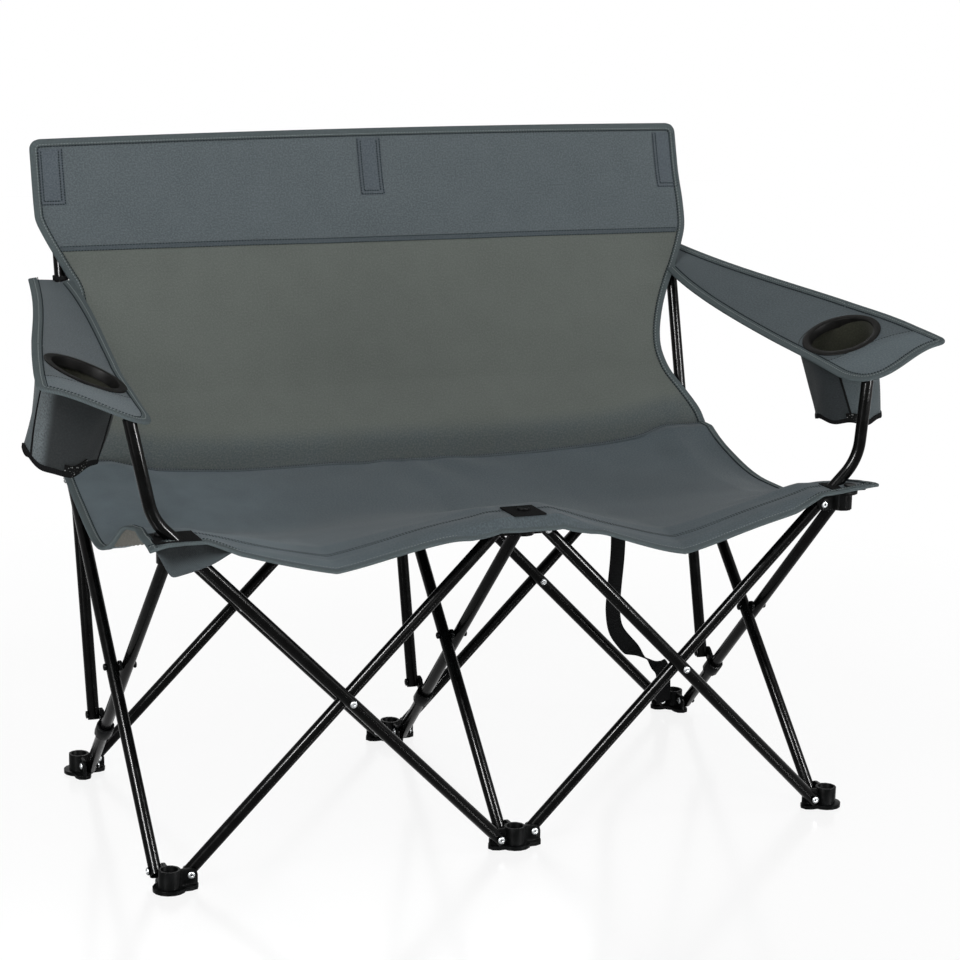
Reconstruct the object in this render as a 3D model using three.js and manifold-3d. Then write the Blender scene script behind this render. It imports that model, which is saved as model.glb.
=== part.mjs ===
// Folding two-seat camp chair with scissor legs, sliding back uprights and cloth seat, back and arms.
// Millimetres, +Z up, +X to the sitter's left when seen from the front, front of the chair towards -Y.
import * as THREE from "three";
import { mergeVertices } from "three/addons/utils/BufferGeometryUtils.js";
import Module from "manifold-3d";

const wasm = await Module();
wasm.setup();

// Frame
const PITCH = 460; // between neighbouring columns of feet, and between the front and rear rows
const PIN = 27; // from a column's centre to each of its pins
const OPEN_ANGLE = Math.PI / 4; // legs from the vertical when the chair stands open
const FOOT_PIN_Z = 17;
const LEG = (PITCH - 2 * PIN) / Math.sin(OPEN_ANGLE); // pin to pin
const HUB_PIN_Z = FOOT_PIN_Z + LEG * Math.cos(OPEN_ANGLE);
const TUBE_OD = 16;
const TUBE_WALL = 1;
const TUBE_R = TUBE_OD / 2;
const TUBE_SIDES = 12;
const END_PAST_PIN = 7; // tube end beyond its pin
const TAB_T = 4; // upright plate that carries a pin
const RUN_GAP = 0.5; // between a tube and the plate beside it
const FIT_GAP = 0.3; // between still pieces
const FLAT_TOL = 0.01; // faces this close to one plane are one face
const LAYER = TAB_T / 2 + RUN_GAP + TUBE_R; // tube axis from the plate's middle
const PIN_R = 3;
const PIN_HOLE_R = PIN_R + 2 * FIT_GAP;
const HEAD_R = 5.4;
const HEAD_T = 2.4;
const DOME = 1.4;
const HEAD_AT = LAYER + TUBE_R + 0.4; // under the rivet head on the tube's far side
const COLUMNS = { left: -PITCH, middle: 0, right: PITCH };
const ROWS = { front: -PITCH / 2, rear: PITCH / 2 };

// Feet and hubs
const BASE_T = 5;
const BASE_R = 21;
const ARM_HALF = 11;
const ARM_PAST_PIN = 10;
const CUP_R = 14;
const CUP_BORE_R = 11;
const CUP_H = 27;
const TAB_PAST_PIN = 8.5;
const FLANGE_T = 4;
const FLANGE_Z = HUB_PIN_Z + 14; // underside
const FLANGE_TOP = FLANGE_Z + FLANGE_T;
const BOSS_DROP = 22; // boss below the flange
const SLIDE_HALF_W = TUBE_R + 1.4; // rear hub's bore round an upright
const SLIDE_HALF_L = 13.2; // longer front to back, because the upright leans in it
const SLIDE_WALL = 2.5;
const SLIDE_DROP = 16;
const SWEEP_GAP = 0.8; // round an arm tube where it turns past its hub
const FOLD_SWEEP = THREE.MathUtils.degToRad(42);

// Uprights and their lower guides
const GUIDE_UP = 108; // along the side leg, from the rear foot's pin to the guide
const GUIDE_OUT = TUBE_OD + 8; // from the side leg's axis back to the upright's pin
const GUIDE_R = TUBE_R + 4;
const GUIDE_BORE_R = TUBE_R + 0.4;
const GUIDE_LEN = 22;
const CHEEK_T = 4;
const CHEEK_R = 8;
const SLIDE_MID_Z = HUB_PIN_Z + 8; // the upright's axis crosses its column's centre here
const BACK_TOP_Z = 868;
const UPRIGHT_TOP_GAP = 8; // upright's end below the top edge of the back

// Arms
const ARM_TOP_Z = 583;
const ARM_LEAN = THREE.MathUtils.degToRad(9);
const ARM_BEND_Z = HUB_PIN_Z + 45;
const ARM_BEND_R = 70;
const CLOTH = 2.4;
const REST_REAR_IN = 11; // inner rear corner, inside and ahead of the upright
const REST_REAR_AHEAD = 13;
const REST_REAR_OUT = 35; // outer rear corner, outside and behind it
const REST_REAR_BEHIND = 36;
const LOOP_LEN = 24; // webbing loop that holds the rear end to the upright
const CAP_LEN = 36; // sleeve over the end of the arm tube
const REST_REAR_Z = 677;
const REST_TILT_Z = 47; // outer front corner above the inner one
const REST_FRONT_IN = 12; // inner front corner outside its column
const REST_FRONT_W = 132;
const REST_BULGE = 70; // pull of the front edge round the arm post
const RING_R = 54;
const RING_BORE_R = 44;
const RING_COLLAR_R = 46;
const RING_LAP = 3; // ring's lip over the cloth round its hole
const RING_T = 3.2;
const RING_DEPTH = 9;
const RING_BACK = 129; // ring's centre behind the front row
const RING_SHARE = 0.48; // of the way from the inner edge to the outer one
const POCKET_R = 53;
const POCKET_FOOT_R = 44;
const POCKET_DEPTH = 112;
const POCKET_LEAN = 24; // foot of the pocket further out than its ring

// Seat and back
const SEAT_SIDE = 28; // cloth beyond the outer columns
const SEAT_FRONT = 26; // hem in front of the front row
const SEAT_REAR = 20; // rear edge in front of the rear row
const SEAT_Z = FLANGE_TOP + FIT_GAP + CLOTH / 2;
const SEAT_SAG_FRONT = 50; // front edge, halfway between two hubs
const SEAT_SAG_SIDE = 68; // outer edges, halfway from front to rear
const SEAT_SAG_MIDDLE = 50; // over the middle column
const SEAT_SAG_REAR = 24; // rear edge, across the whole width
const HEM_DROP = 8; // front hem below the seat, between the hubs
const HUB_REACH = PIN + ARM_PAST_PIN + 5; // seat lies flat this far round a hub
const CREASE_AHEAD = 22; // crease in front of the rear corners, clear of the middle hub
const SEAT_SPLIT = 2; // half the gap at the fold across the seat
const BACK_AHEAD = TUBE_R + 4; // cloth in front of the uprights' axes
const BAND_H = 146;
const SEAM_Z = BACK_TOP_Z - BAND_H;
const CREASE_GAP = 4; // from the seat's rear edge up to the back's lower edge
const CURL_H = 84; // lower part of the back that comes forward to the crease
const POCKET_WALL = 2.2;
const SLEEVE_HALF = TUBE_R + 4;
const SLEEVE_LEN = 80;
const PATCH_X = 44;
const PATCH_Y = 48;
const PATCH_T = 2;

// Carry strap
const STRAP_W = 25;
const STRAP_T = 1.8;
const STRAP_IN = 108; // its upper end, inwards from the foot's pin
const STRAP_SET = 24; // its upper end, in front of the seat's rear corner
const STRAP_LOW = 2; // its upper end, below the seat's cloth

const steel = new THREE.MeshStandardMaterial({ color: 0x0c0d0e, metalness: 0.6, roughness: 0.3 });
const plastic = new THREE.MeshStandardMaterial({ color: 0x17181a, roughness: 0.6 });
const zinc = new THREE.MeshStandardMaterial({ color: 0xb9bcc0, metalness: 1, roughness: 0.3 });
const slate = new THREE.MeshStandardMaterial({ color: 0x4d585e, roughness: 0.9 });
const warm = new THREE.MeshStandardMaterial({ color: 0x565752, roughness: 0.9 });
const black = new THREE.MeshStandardMaterial({ color: 0x101113, roughness: 0.8 });

const V = (x, y, z) => new THREE.Vector3(x, y, z);
const between = (a, b, t) => a + (b - a) * t;

/** A closed geometry as a manifold solid, turned to face out. */
function solid(geometry) {
  const bare = geometry.index ? geometry.toNonIndexed() : geometry.clone();
  const g = new THREE.BufferGeometry().setAttribute("position", bare.getAttribute("position"));
  const m = mergeVertices(g, 1e-4);
  const make = (tri) =>
    new wasm.Manifold(
      new wasm.Mesh({ numProp: 3, vertProperties: m.attributes.position.array, triVerts: tri }),
    );
  const tri = new Uint32Array(m.index.array);
  const made = make(tri);
  if (made.volume() > 0) return made;
  for (let i = 0; i < tri.length; i += 3) [tri[i + 1], tri[i + 2]] = [tri[i + 2], tri[i + 1]];
  return make(tri);
}

/** A manifold solid as a three.js geometry, with faces that lie in one plane joined. */
function geometryOf(body) {
  const m = body.asOriginal().simplify(FLAT_TOL).getMesh();
  const v = new Float32Array(m.numVert * 3);
  for (let i = 0; i < m.numVert; i++) {
    v.set(m.vertProperties.subarray(i * m.numProp, i * m.numProp + 3), i * 3);
  }
  const g = new THREE.BufferGeometry();
  g.setAttribute("position", new THREE.BufferAttribute(v, 3));
  g.setIndex(new THREE.BufferAttribute(new Uint32Array(m.triVerts), 1));
  g.computeVertexNormals();
  return g;
}

const fuse = (bodies) => bodies.reduce((a, b) => a.add(b));
const cut = (body, tools) => tools.reduce((a, b) => a.subtract(b), body);

/** A lathe about an axis. Points are [radius, distance along the axis]. */
function turned(points, axis, at, sides) {
  const profile = points.map(([r, t]) => new THREE.Vector2(r, t));
  const g = new THREE.LatheGeometry(profile, sides);
  const q = new THREE.Quaternion().setFromUnitVectors(V(0, 1, 0), axis.clone().normalize());
  g.applyQuaternion(q);
  g.translate(at.x, at.y, at.z);
  return solid(g);
}

/** A plain rod about an axis, centred on a point. */
function rod(r, length, axis, at, sides = 10) {
  const h = length / 2;
  return turned([[0, -h], [r, -h], [r, h], [0, h]], axis, at, sides);
}

/** A box by its low and high corners. */
function box(lo, hi) {
  const g = new THREE.BoxGeometry(hi.x - lo.x, hi.y - lo.y, hi.z - lo.z);
  g.translate((lo.x + hi.x) / 2, (lo.y + hi.y) / 2, (lo.z + hi.z) / 2);
  return solid(g);
}

/** A flat shape of points in a plane, thickened both ways along the plane's normal. */
function plate(points, u, v, at, t) {
  const s = new THREE.Shape(points.map(([a, b]) => new THREE.Vector2(a, b)));
  const g = new THREE.ExtrudeGeometry(s, { depth: t, bevelEnabled: false });
  g.translate(0, 0, -t / 2);
  const n = u.clone().cross(v);
  g.applyMatrix4(new THREE.Matrix4().makeBasis(u, v, n).setPosition(at));
  return solid(g);
}

/** Points of an arc in a plane, from angle a to angle b. */
function arc(cx, cy, r, a, b, steps) {
  return Array.from({ length: steps + 1 }, (_, i) => {
    const t = a + ((b - a) * i) / steps;
    return [cx + r * Math.cos(t), cy + r * Math.sin(t)];
  });
}

/** A hollow round tube along points that lie in one plane with the given normal. */
function tube(points, normal) {
  const ring = (i, r) => {
    const before = points[Math.max(0, i - 1)];
    const after = points[Math.min(points.length - 1, i + 1)];
    const dir = after.clone().sub(before).normalize();
    const side = normal.clone().cross(dir);
    return Array.from({ length: TUBE_SIDES }, (_, k) => {
      const a = (2 * Math.PI * (k + 0.5)) / TUBE_SIDES;
      const out = normal.clone().multiplyScalar(Math.cos(a)).addScaledVector(side, Math.sin(a));
      return points[i].clone().addScaledVector(out, r);
    });
  };
  const forth = points.map((_, i) => ring(i, TUBE_R));
  const back = points.map((_, i) => ring(i, TUBE_R - TUBE_WALL)).reverse();
  return solid(ringsClosed([...forth, ...back]));
}

/** Rings of equal length joined one after another, the last to the first. */
function ringsClosed(rings) {
  const n = rings[0].length;
  const index = [];
  rings.forEach((_, i) => {
    const j = (i + 1) % rings.length;
    for (let k = 0; k < n; k++) {
      const m = (k + 1) % n;
      index.push(i * n + k, i * n + m, j * n + m, i * n + k, j * n + m, j * n + k);
    }
  });
  return indexed(rings.flat(), index);
}

function indexed(points, index) {
  const g = new THREE.BufferGeometry();
  g.setAttribute("position", new THREE.Float32BufferAttribute(points.flatMap((p) => p.toArray()), 3));
  g.setIndex(index);
  return g;
}

/** Cloth: a surface of (u, v) in 0..1, sampled at the given stops and thickened about itself. */
function cloth(us, vs, at, t = CLOTH) {
  const n = vs.length;
  const e = 1e-3;
  const near = (x) => [Math.max(0, x - e), Math.min(1, x + e)];
  const faces = [[], []];
  us.forEach((u) =>
    vs.forEach((v) => {
      const [u0, u1] = near(u);
      const [v0, v1] = near(v);
      const du = at(u1, v).sub(at(u0, v));
      const dv = at(u, v1).sub(at(u, v0));
      const out = du.cross(dv).normalize().multiplyScalar(t / 2);
      faces[0].push(at(u, v).add(out));
      faces[1].push(at(u, v).sub(out));
    }),
  );
  const index = [];
  const total = faces[0].length;
  const quad = (a, b, c, d) => index.push(a, b, c, a, c, d);
  for (let i = 0; i + 1 < us.length; i++) {
    for (let j = 0; j + 1 < n; j++) {
      const a = i * n + j;
      quad(a, a + n, a + n + 1, a + 1);
      quad(total + a, total + a + 1, total + a + n + 1, total + a + n);
    }
  }
  const rim = [];
  for (let i = 0; i + 1 < us.length; i++) rim.push(i * n);
  for (let j = 0; j + 1 < n; j++) rim.push((us.length - 1) * n + j);
  for (let i = us.length - 1; i > 0; i--) rim.push(i * n + n - 1);
  for (let j = n - 1; j > 0; j--) rim.push(j);
  rim.forEach((a, k) => {
    const b = rim[(k + 1) % rim.length];
    quad(a, total + a, total + b, b);
  });
  return solid(indexed([...faces[0], ...faces[1]], index));
}

const stops = (n) => Array.from({ length: n + 1 }, (_, i) => i / n);
const group = new THREE.Group();
group.name = "folding_camp_loveseat";

function add(name, body, material) {
  const mesh = new THREE.Mesh(geometryOf(body), material);
  mesh.name = name;
  group.add(mesh);
}

const X = V(1, 0, 0);
const Y = V(0, 1, 0);
const Z = V(0, 0, 1);

/** Domed rivet that a plate carries, with a tube on one side of the plate. */
function plateRivet(axis, side, at) {
  const far = HEAD_AT + HEAD_T;
  const near = -TAB_T / 2 - HEAD_T;
  const profile = [
    [0, near],
    [HEAD_R, near + DOME],
    [HEAD_R, 0],
    [PIN_R, 0],
    [PIN_R, HEAD_AT],
    [HEAD_R, HEAD_AT],
    [HEAD_R, far - DOME],
    [0, far],
  ];
  return turned(profile, axis.clone().multiplyScalar(side), at, 8);
}

/** One arm of a foot or hub: where its pin is, and on which side of its plate the tube runs. */
function arm(dir, side) {
  const along = { "+x": X, "-x": X.clone().negate(), "+y": Y, "-y": Y.clone().negate() }[dir];
  return { along, axis: dir.endsWith("x") ? Y : X, side };
}

/** Outline of an arm of a base or flange: a bar with a round end. */
function armOutline(length, half) {
  return [[0, -half], ...arc(length - half, 0, half, -Math.PI / 2, Math.PI / 2, 4), [0, half]];
}

function foot(at, arms) {
  const floor = V(at.x, at.y, 0);
  const bodies = [rod(BASE_R, BASE_T, Z, V(at.x, at.y, BASE_T / 2), 16)];
  bodies.push(rod(CUP_R, CUP_H, Z, V(at.x, at.y, CUP_H / 2), 12));
  for (const a of arms) {
    const v = Z.clone().cross(a.along);
    const bar = armOutline(PIN + ARM_PAST_PIN, ARM_HALF);
    bodies.push(plate(bar, a.along, v, V(at.x, at.y, BASE_T / 2), BASE_T));
    const tab = [
      [0, 0],
      [PIN + TAB_PAST_PIN, 0],
      ...arc(PIN, FOOT_PIN_Z, TAB_PAST_PIN, 0, Math.PI / 2, 3),
      [0, FOOT_PIN_Z + TAB_PAST_PIN],
    ];
    bodies.push(plate(tab, a.along, Z, floor, TAB_T));
    const pin = floor.clone().addScaledVector(a.along, PIN).setZ(FOOT_PIN_Z);
    bodies.push(plateRivet(a.axis, a.side, pin));
  }
  const bore = rod(CUP_BORE_R, CUP_H, Z, V(at.x, at.y, BASE_T + CUP_H / 2), 12);
  return cut(fuse(bodies), [bore]);
}

/** Space that an arm tube sweeps above its hub pin while the chair folds. */
function armSweep(hub, towards, layer) {
  const r = TUBE_R + SWEEP_GAP;
  const reach = 90;
  const out = V(-towards, 0, 0);
  const points = [];
  for (let i = 0; i <= 6; i++) {
    const a = Math.PI / 2 - OPEN_ANGLE + (FOLD_SWEEP * i) / 6;
    points.push([reach * Math.cos(a), reach * Math.sin(a)]);
  }
  const first = Math.PI / 2 - OPEN_ANGLE;
  const last = first + FOLD_SWEEP;
  const outline = [
    [r * Math.sin(first), -r * Math.cos(first)],
    [reach * Math.cos(first) + r * Math.sin(first), reach * Math.sin(first) - r * Math.cos(first)],
    ...points.slice(1, -1).map(([a, b]) => [a * 1.1, b * 1.1]),
    [reach * Math.cos(last) - r * Math.sin(last), reach * Math.sin(last) + r * Math.cos(last)],
    [-r * Math.sin(last), r * Math.cos(last)],
    [-r * Math.sin(first), r * Math.cos(first)],
  ];
  const pin = V(hub.x + towards * PIN, hub.y + layer, HUB_PIN_Z);
  return plate(outline, out, Z, pin, 2 * r);
}

function hub(at, arms, options = {}) {
  const mid = V(at.x, at.y, FLANGE_Z + FLANGE_T / 2);
  const bodies = [rod(BASE_R, FLANGE_T, Z, mid, 16)];
  for (const a of arms) {
    const v = Z.clone().cross(a.along);
    const bar = armOutline(PIN + ARM_PAST_PIN, ARM_HALF);
    bodies.push(plate(bar, a.along, v, mid, FLANGE_T));
    const tab = [
      [0, FLANGE_Z + 1],
      [0, HUB_PIN_Z - TAB_PAST_PIN],
      ...arc(PIN, HUB_PIN_Z, TAB_PAST_PIN, -Math.PI / 2, 0, 3),
      [PIN + TAB_PAST_PIN, FLANGE_Z + 1],
    ];
    bodies.push(plate(tab, a.along, Z, V(at.x, at.y, 0), TAB_T));
    const pin = V(at.x, at.y, HUB_PIN_Z).addScaledVector(a.along, PIN);
    bodies.push(plateRivet(a.axis, a.side, pin));
  }
  const tools = [];
  if (options.slide) {
    const outline = (w, l) => [
      ...arc(0, l - w, w, 0, Math.PI, 6),
      ...arc(0, w - l, w, Math.PI, 2 * Math.PI, 6),
    ];
    const w = SLIDE_HALF_W;
    const l = SLIDE_HALF_L;
    const high = FLANGE_TOP - (FLANGE_T + SLIDE_DROP) / 2;
    const wall = plate(outline(w + SLIDE_WALL, l + SLIDE_WALL), X, Y, V(at.x, at.y, high), FLANGE_T + SLIDE_DROP);
    bodies.push(wall);
    tools.push(plate(outline(w, l), X, Y, V(at.x, at.y, HUB_PIN_Z), 100));
  } else {
    const boss = V(at.x, at.y, FLANGE_Z - BOSS_DROP / 2);
    bodies.push(rod(CUP_R, BOSS_DROP, Z, boss, 12));
    tools.push(rod(CUP_BORE_R, BOSS_DROP, Z, boss, 12));
  }
  if (options.sweep) tools.push(options.sweep);
  if (options.stud) tools.push(rod(PIN_HOLE_R, 60, Z, options.stud));
  return cut(fuse(bodies), tools);
}

/** A straight leg between a foot pin and a hub pin, drilled for its three rivets. */
function leg(low, high, axis, more = []) {
  const dir = high.clone().sub(low).normalize();
  const points = [low.clone().addScaledVector(dir, -END_PAST_PIN)];
  if (more.length) points.push(...more);
  else points.push(high.clone().addScaledVector(dir, END_PAST_PIN));
  const holes = [low, low.clone().lerp(high, 0.5), high].map((p) => rod(PIN_HOLE_R, 40, axis, p, 6));
  return cut(tube(points, axis), holes);
}

/** Rivet through two crossing legs, with a spacer between them. */
function crossRivet(axis, at) {
  const spacer = LAYER - TUBE_R - 0.4;
  const half = [
    [PIN_R, spacer],
    [PIN_R, HEAD_AT],
    [HEAD_R, HEAD_AT],
    [HEAD_R, HEAD_AT + HEAD_T - DOME],
    [0, HEAD_AT + HEAD_T],
  ];
  const other = half.map(([r, t]) => [r, -t]).reverse();
  return turned([...other, [7, -spacer], [7, spacer], ...half], axis, at, 8);
}

const short = { left: "l", middle: "m", right: "r" };
const order = ["left", "middle", "right"];
const place = (row, column) => V(COLUMNS[column], ROWS[row], 0);
const footPin = (row, column, dx, dy) => place(row, column).add(V(dx * PIN, dy * PIN, FOOT_PIN_Z));
const hubPin = (row, column, dx, dy) => place(row, column).add(V(dx * PIN, dy * PIN, HUB_PIN_Z));

// Where the arm tubes go above their hubs
function armPath(side) {
  const start = hubPin("front", side < 0 ? "left" : "right", -side, 0).add(V(0, LAYER * side, 0));
  const legDir = V(side * Math.sin(OPEN_ANGLE), 0, Math.cos(OPEN_ANGLE));
  const postDir = V(side * Math.sin(ARM_LEAN), 0, Math.cos(ARM_LEAN));
  const corner = start.clone().addScaledVector(legDir, (ARM_BEND_Z - HUB_PIN_Z) / legDir.z);
  const turn = OPEN_ANGLE - ARM_LEAN;
  const tangent = ARM_BEND_R * Math.tan(turn / 2);
  const points = [];
  const steps = 5;
  const centre = corner
    .clone()
    .addScaledVector(legDir, -tangent)
    .add(V(side * Math.cos(OPEN_ANGLE), 0, -Math.sin(OPEN_ANGLE)).multiplyScalar(-ARM_BEND_R));
  for (let i = 0; i <= steps; i++) {
    const a = OPEN_ANGLE - (turn * i) / steps;
    points.push(centre.clone().add(V(side * Math.cos(a), 0, -Math.sin(a)).multiplyScalar(ARM_BEND_R)));
  }
  const top = corner.clone().addScaledVector(postDir, (ARM_TOP_Z - ARM_BEND_Z) / postDir.z);
  points.push(top);
  return { points, top, legDir, start };
}

const armLeft = armPath(-1);
const armRight = armPath(1);
const studs = {
  left: place("front", "left").add(V(-7, 8, FLANGE_Z)),
  middle: place("front", "middle").add(V(0, 0, FLANGE_Z)),
  right: place("front", "right").add(V(7, -8, FLANGE_Z)),
};
const sweeps = {
  left: armSweep(place("front", "left"), 1, -LAYER),
  right: armSweep(place("front", "right"), -1, LAYER),
};

// Feet and hubs. Legs that rise to the viewer's left run in front of their plates, the others behind.
for (const row of ["front", "rear"]) {
  const inward = row === "front" ? "+y" : "-y";
  for (const column of order) {
    const at = place(row, column);
    const arms = { foot: [], hub: [] };
    if (column !== "right") {
      arms.foot.push(arm("+x", 1));
      arms.hub.push(arm("+x", -1));
    }
    if (column !== "left") {
      arms.foot.push(arm("-x", -1));
      arms.hub.push(arm("-x", 1));
    }
    const frontSide = row === "front" ? -1 : 1;
    arms.foot.push(arm(inward, frontSide));
    arms.hub.push(arm(inward, -frontSide));
    add(`foot_${row}_${column}`, foot(at, arms.foot), plastic);
    const options = row === "rear" ? { slide: true } : { stud: studs[column], sweep: sweeps[column] };
    add(`hub_${row}_${column}`, hub(at, arms.hub, options), plastic);
  }
}

// Front and rear legs
for (const row of ["front", "rear"]) {
  const r = row[0];
  for (let i = 0; i < 2; i++) {
    const [a, b] = [order[i], order[i + 1]];
    const rise = [footPin(row, a, 1, 0), hubPin(row, b, -1, 0)].map((p) => p.add(V(0, LAYER, 0)));
    const fall = [footPin(row, b, -1, 0), hubPin(row, a, 1, 0)].map((p) => p.add(V(0, -LAYER, 0)));
    const arm = row === "front" ? { rise: i === 1 && armRight, fall: i === 0 && armLeft } : {};
    const riseName = `leg_${r}${short[a]}_to_${r}${short[b]}`;
    const fallName = `leg_${r}${short[b]}_to_${r}${short[a]}`;
    add(riseName, leg(...rise, Y, arm.rise ? arm.rise.points : []), steel);
    add(fallName, leg(...fall, Y, arm.fall ? arm.fall.points : []), steel);
    const mid = V((COLUMNS[a] + COLUMNS[b]) / 2, ROWS[row], (FOOT_PIN_Z + HUB_PIN_Z) / 2);
    add(`rivet_${row}_${i === 0 ? "left" : "right"}`, crossRivet(Y, mid), zinc);
  }
}

// Side legs, lower guides and back uprights
const guideAt = (column) => {
  const pin = footPin("rear", column, 0, -1);
  const dir = V(0, -Math.sin(OPEN_ANGLE), Math.cos(OPEN_ANGLE));
  const out = V(0, Math.cos(OPEN_ANGLE), Math.sin(OPEN_ANGLE));
  const ring = pin.clone().add(V(LAYER, 0, 0)).addScaledVector(dir, GUIDE_UP);
  const hinge = pin.clone().addScaledVector(dir, GUIDE_UP).addScaledVector(out, GUIDE_OUT);
  return { dir, out, ring, hinge };
};
const uprightDir = (() => {
  const g = guideAt("middle");
  return V(0, ROWS.rear, SLIDE_MID_Z).sub(g.hinge).normalize();
})();
const uprightAt = (z) => ROWS.rear + ((z - SLIDE_MID_Z) * uprightDir.y) / uprightDir.z;

for (const column of order) {
  const c = short[column];
  const fore = [footPin("front", column, 0, 1), hubPin("rear", column, 0, -1)].map((p) => p.add(V(-LAYER, 0, 0)));
  const aft = [footPin("rear", column, 0, -1), hubPin("front", column, 0, 1)].map((p) => p.add(V(LAYER, 0, 0)));
  add(`leg_f${c}_to_r${c}`, leg(...fore, X), steel);
  add(`leg_r${c}_to_f${c}`, leg(...aft, X), steel);
  add(`rivet_side_${column}`, crossRivet(X, V(COLUMNS[column], 0, (FOOT_PIN_Z + HUB_PIN_Z) / 2)), zinc);

  const g = guideAt(column);
  const collar = rod(GUIDE_R, GUIDE_LEN, g.dir, g.ring, 12);
  const half = CHEEK_T / 2;
  const cheekX = COLUMNS[column] + TUBE_R + 0.6 + half;
  const outline = [[0, -CHEEK_R], ...arc(GUIDE_OUT, 0, CHEEK_R, -Math.PI / 2, Math.PI / 2, 5), [0, CHEEK_R]];
  const cheek = plate(outline, g.out, g.dir, V(cheekX, g.ring.y, g.ring.z), CHEEK_T);
  const reach = TUBE_OD + 1 + half;
  const pin = turned(
    [
      [0, -half - HEAD_T],
      [HEAD_R, -half - HEAD_T + 0.8],
      [HEAD_R, 0],
      [PIN_R, 0],
      [PIN_R, reach],
      [HEAD_R, reach],
      [HEAD_R, reach + HEAD_T - 0.8],
      [0, reach + HEAD_T],
    ],
    V(-1, 0, 0),
    V(cheekX, g.hinge.y, g.hinge.z),
    8,
  );
  const bore = rod(GUIDE_BORE_R, 2 * GUIDE_LEN, g.dir, g.ring, 12);
  add(`guide_${column}`, cut(fuse([collar, cheek]), [bore]).add(pin), plastic);

  const top = (BACK_TOP_Z - UPRIGHT_TOP_GAP - g.hinge.z) / uprightDir.z;
  const ends = [-END_PAST_PIN, top].map((d) => g.hinge.clone().addScaledVector(uprightDir, d));
  add(`upright_${column}`, cut(tube(ends, X), [rod(PIN_HOLE_R, 40, X, g.hinge, 6)]), steel);
}

// Seat cloth: two halves that meet at the fold across the middle. It hangs from the hubs in straight
// runs with a rounded low point halfway, and the rear edge hangs from the outer hubs alone.
const FRONT_Y = ROWS.front - SEAT_FRONT;
const REAR_Y = ROWS.rear - SEAT_REAR;
const share = (x) => Math.max(0, Math.min(1, x));
const smooth = (x) => share(x) ** 2 * (3 - 2 * share(x));
const tent = (x) => 1.15 * share(x) - 0.15 * share(x) ** 8;
const nearest = (x, list) => Math.min(...Object.values(list).map((c) => Math.abs(x - c)));
const rearY = (x) => REAR_Y - CREASE_AHEAD * smooth((PITCH - Math.abs(x) - HUB_REACH) / 60);
function seatPoint(x, y) {
  const half = PITCH / 2 - HUB_REACH;
  const across = tent((nearest(x, COLUMNS) - HUB_REACH) / half);
  const along = tent((nearest(y, ROWS) - HUB_REACH) / half) * (Math.abs(y) < PITCH / 2 ? 1 : 0);
  const whole = 1 - (1 - share((PITCH - Math.abs(x) - HUB_REACH) / (PITCH - HUB_REACH))) ** 4;
  const back = share((y - ROWS.front) / PITCH);
  const out = share(Math.abs(x) / PITCH);
  const edge = across * SEAT_SAG_FRONT * (1 - back) ** 1.5 + whole * SEAT_SAG_REAR * back ** 2.2;
  const inner = along * (SEAT_SAG_SIDE * out ** 1.5 + SEAT_SAG_MIDDLE * (1 - out) ** 1.5);
  const past = share((ROWS.front - y) / SEAT_FRONT);
  const hem = HEM_DROP * past ** 2 * share((nearest(x, COLUMNS) - HUB_REACH) / 40);
  return V(x, y, SEAT_Z - edge - inner - hem);
}
const seatX = (() => {
  const half = PITCH + SEAT_SIDE;
  const list = [-half];
  for (const c of [-PITCH, 0, PITCH]) {
    for (const o of [-HUB_REACH, HUB_REACH]) if (Math.abs(c + o) < half) list.push(c + o);
  }
  for (const m of [-PITCH / 2, PITCH / 2]) {
    for (const o of [-0.32, -0.23, -0.12, 0, 0.12, 0.23, 0.32]) list.push(m + o * PITCH);
  }
  list.push(half);
  return list.sort((a, b) => a - b).map((x) => (x + half) / (2 * half));
})();
const seatHalf = (ys, last) => {
  const [y0, run] = [ys[0], ys[ys.length - 1] - ys[0]];
  const vs = ys.map((y) => (y - y0) / run);
  return cloth(seatX, vs, (u, v) => {
    const x = (2 * u - 1) * (PITCH + SEAT_SIDE);
    return seatPoint(x, y0 + (last(x) - y0) * v);
  });
};
const FLAT_FRONT = ROWS.front + HUB_REACH;
const FLAT_REAR = ROWS.rear - HUB_REACH;
const seatFrontY = [FRONT_Y, ROWS.front, FLAT_FRONT];
for (const t of [0.25, 0.5, 0.75, 1]) seatFrontY.push(between(FLAT_FRONT, -SEAT_SPLIT, t));
const seatRearY = [0, 0.25, 0.5, 0.75, 1].map((t) => between(SEAT_SPLIT, FLAT_REAR, t)).concat(REAR_Y);
const seatHoles = [armLeft, armRight].map((a) => {
  const through = a.start.clone().addScaledVector(a.legDir, (SEAT_Z - HUB_PIN_Z) / a.legDir.z);
  return rod(TUBE_R + 2, 80, a.legDir, through, 10);
});
const studHoles = order.map((c) => rod(PIN_HOLE_R, 60, Z, studs[c]));
add("seat_front", cut(seatHalf(seatFrontY, () => -SEAT_SPLIT), [...seatHoles, ...studHoles]), slate);
add("seat_rear", seatHalf(seatRearY, rearY), slate);

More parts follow.
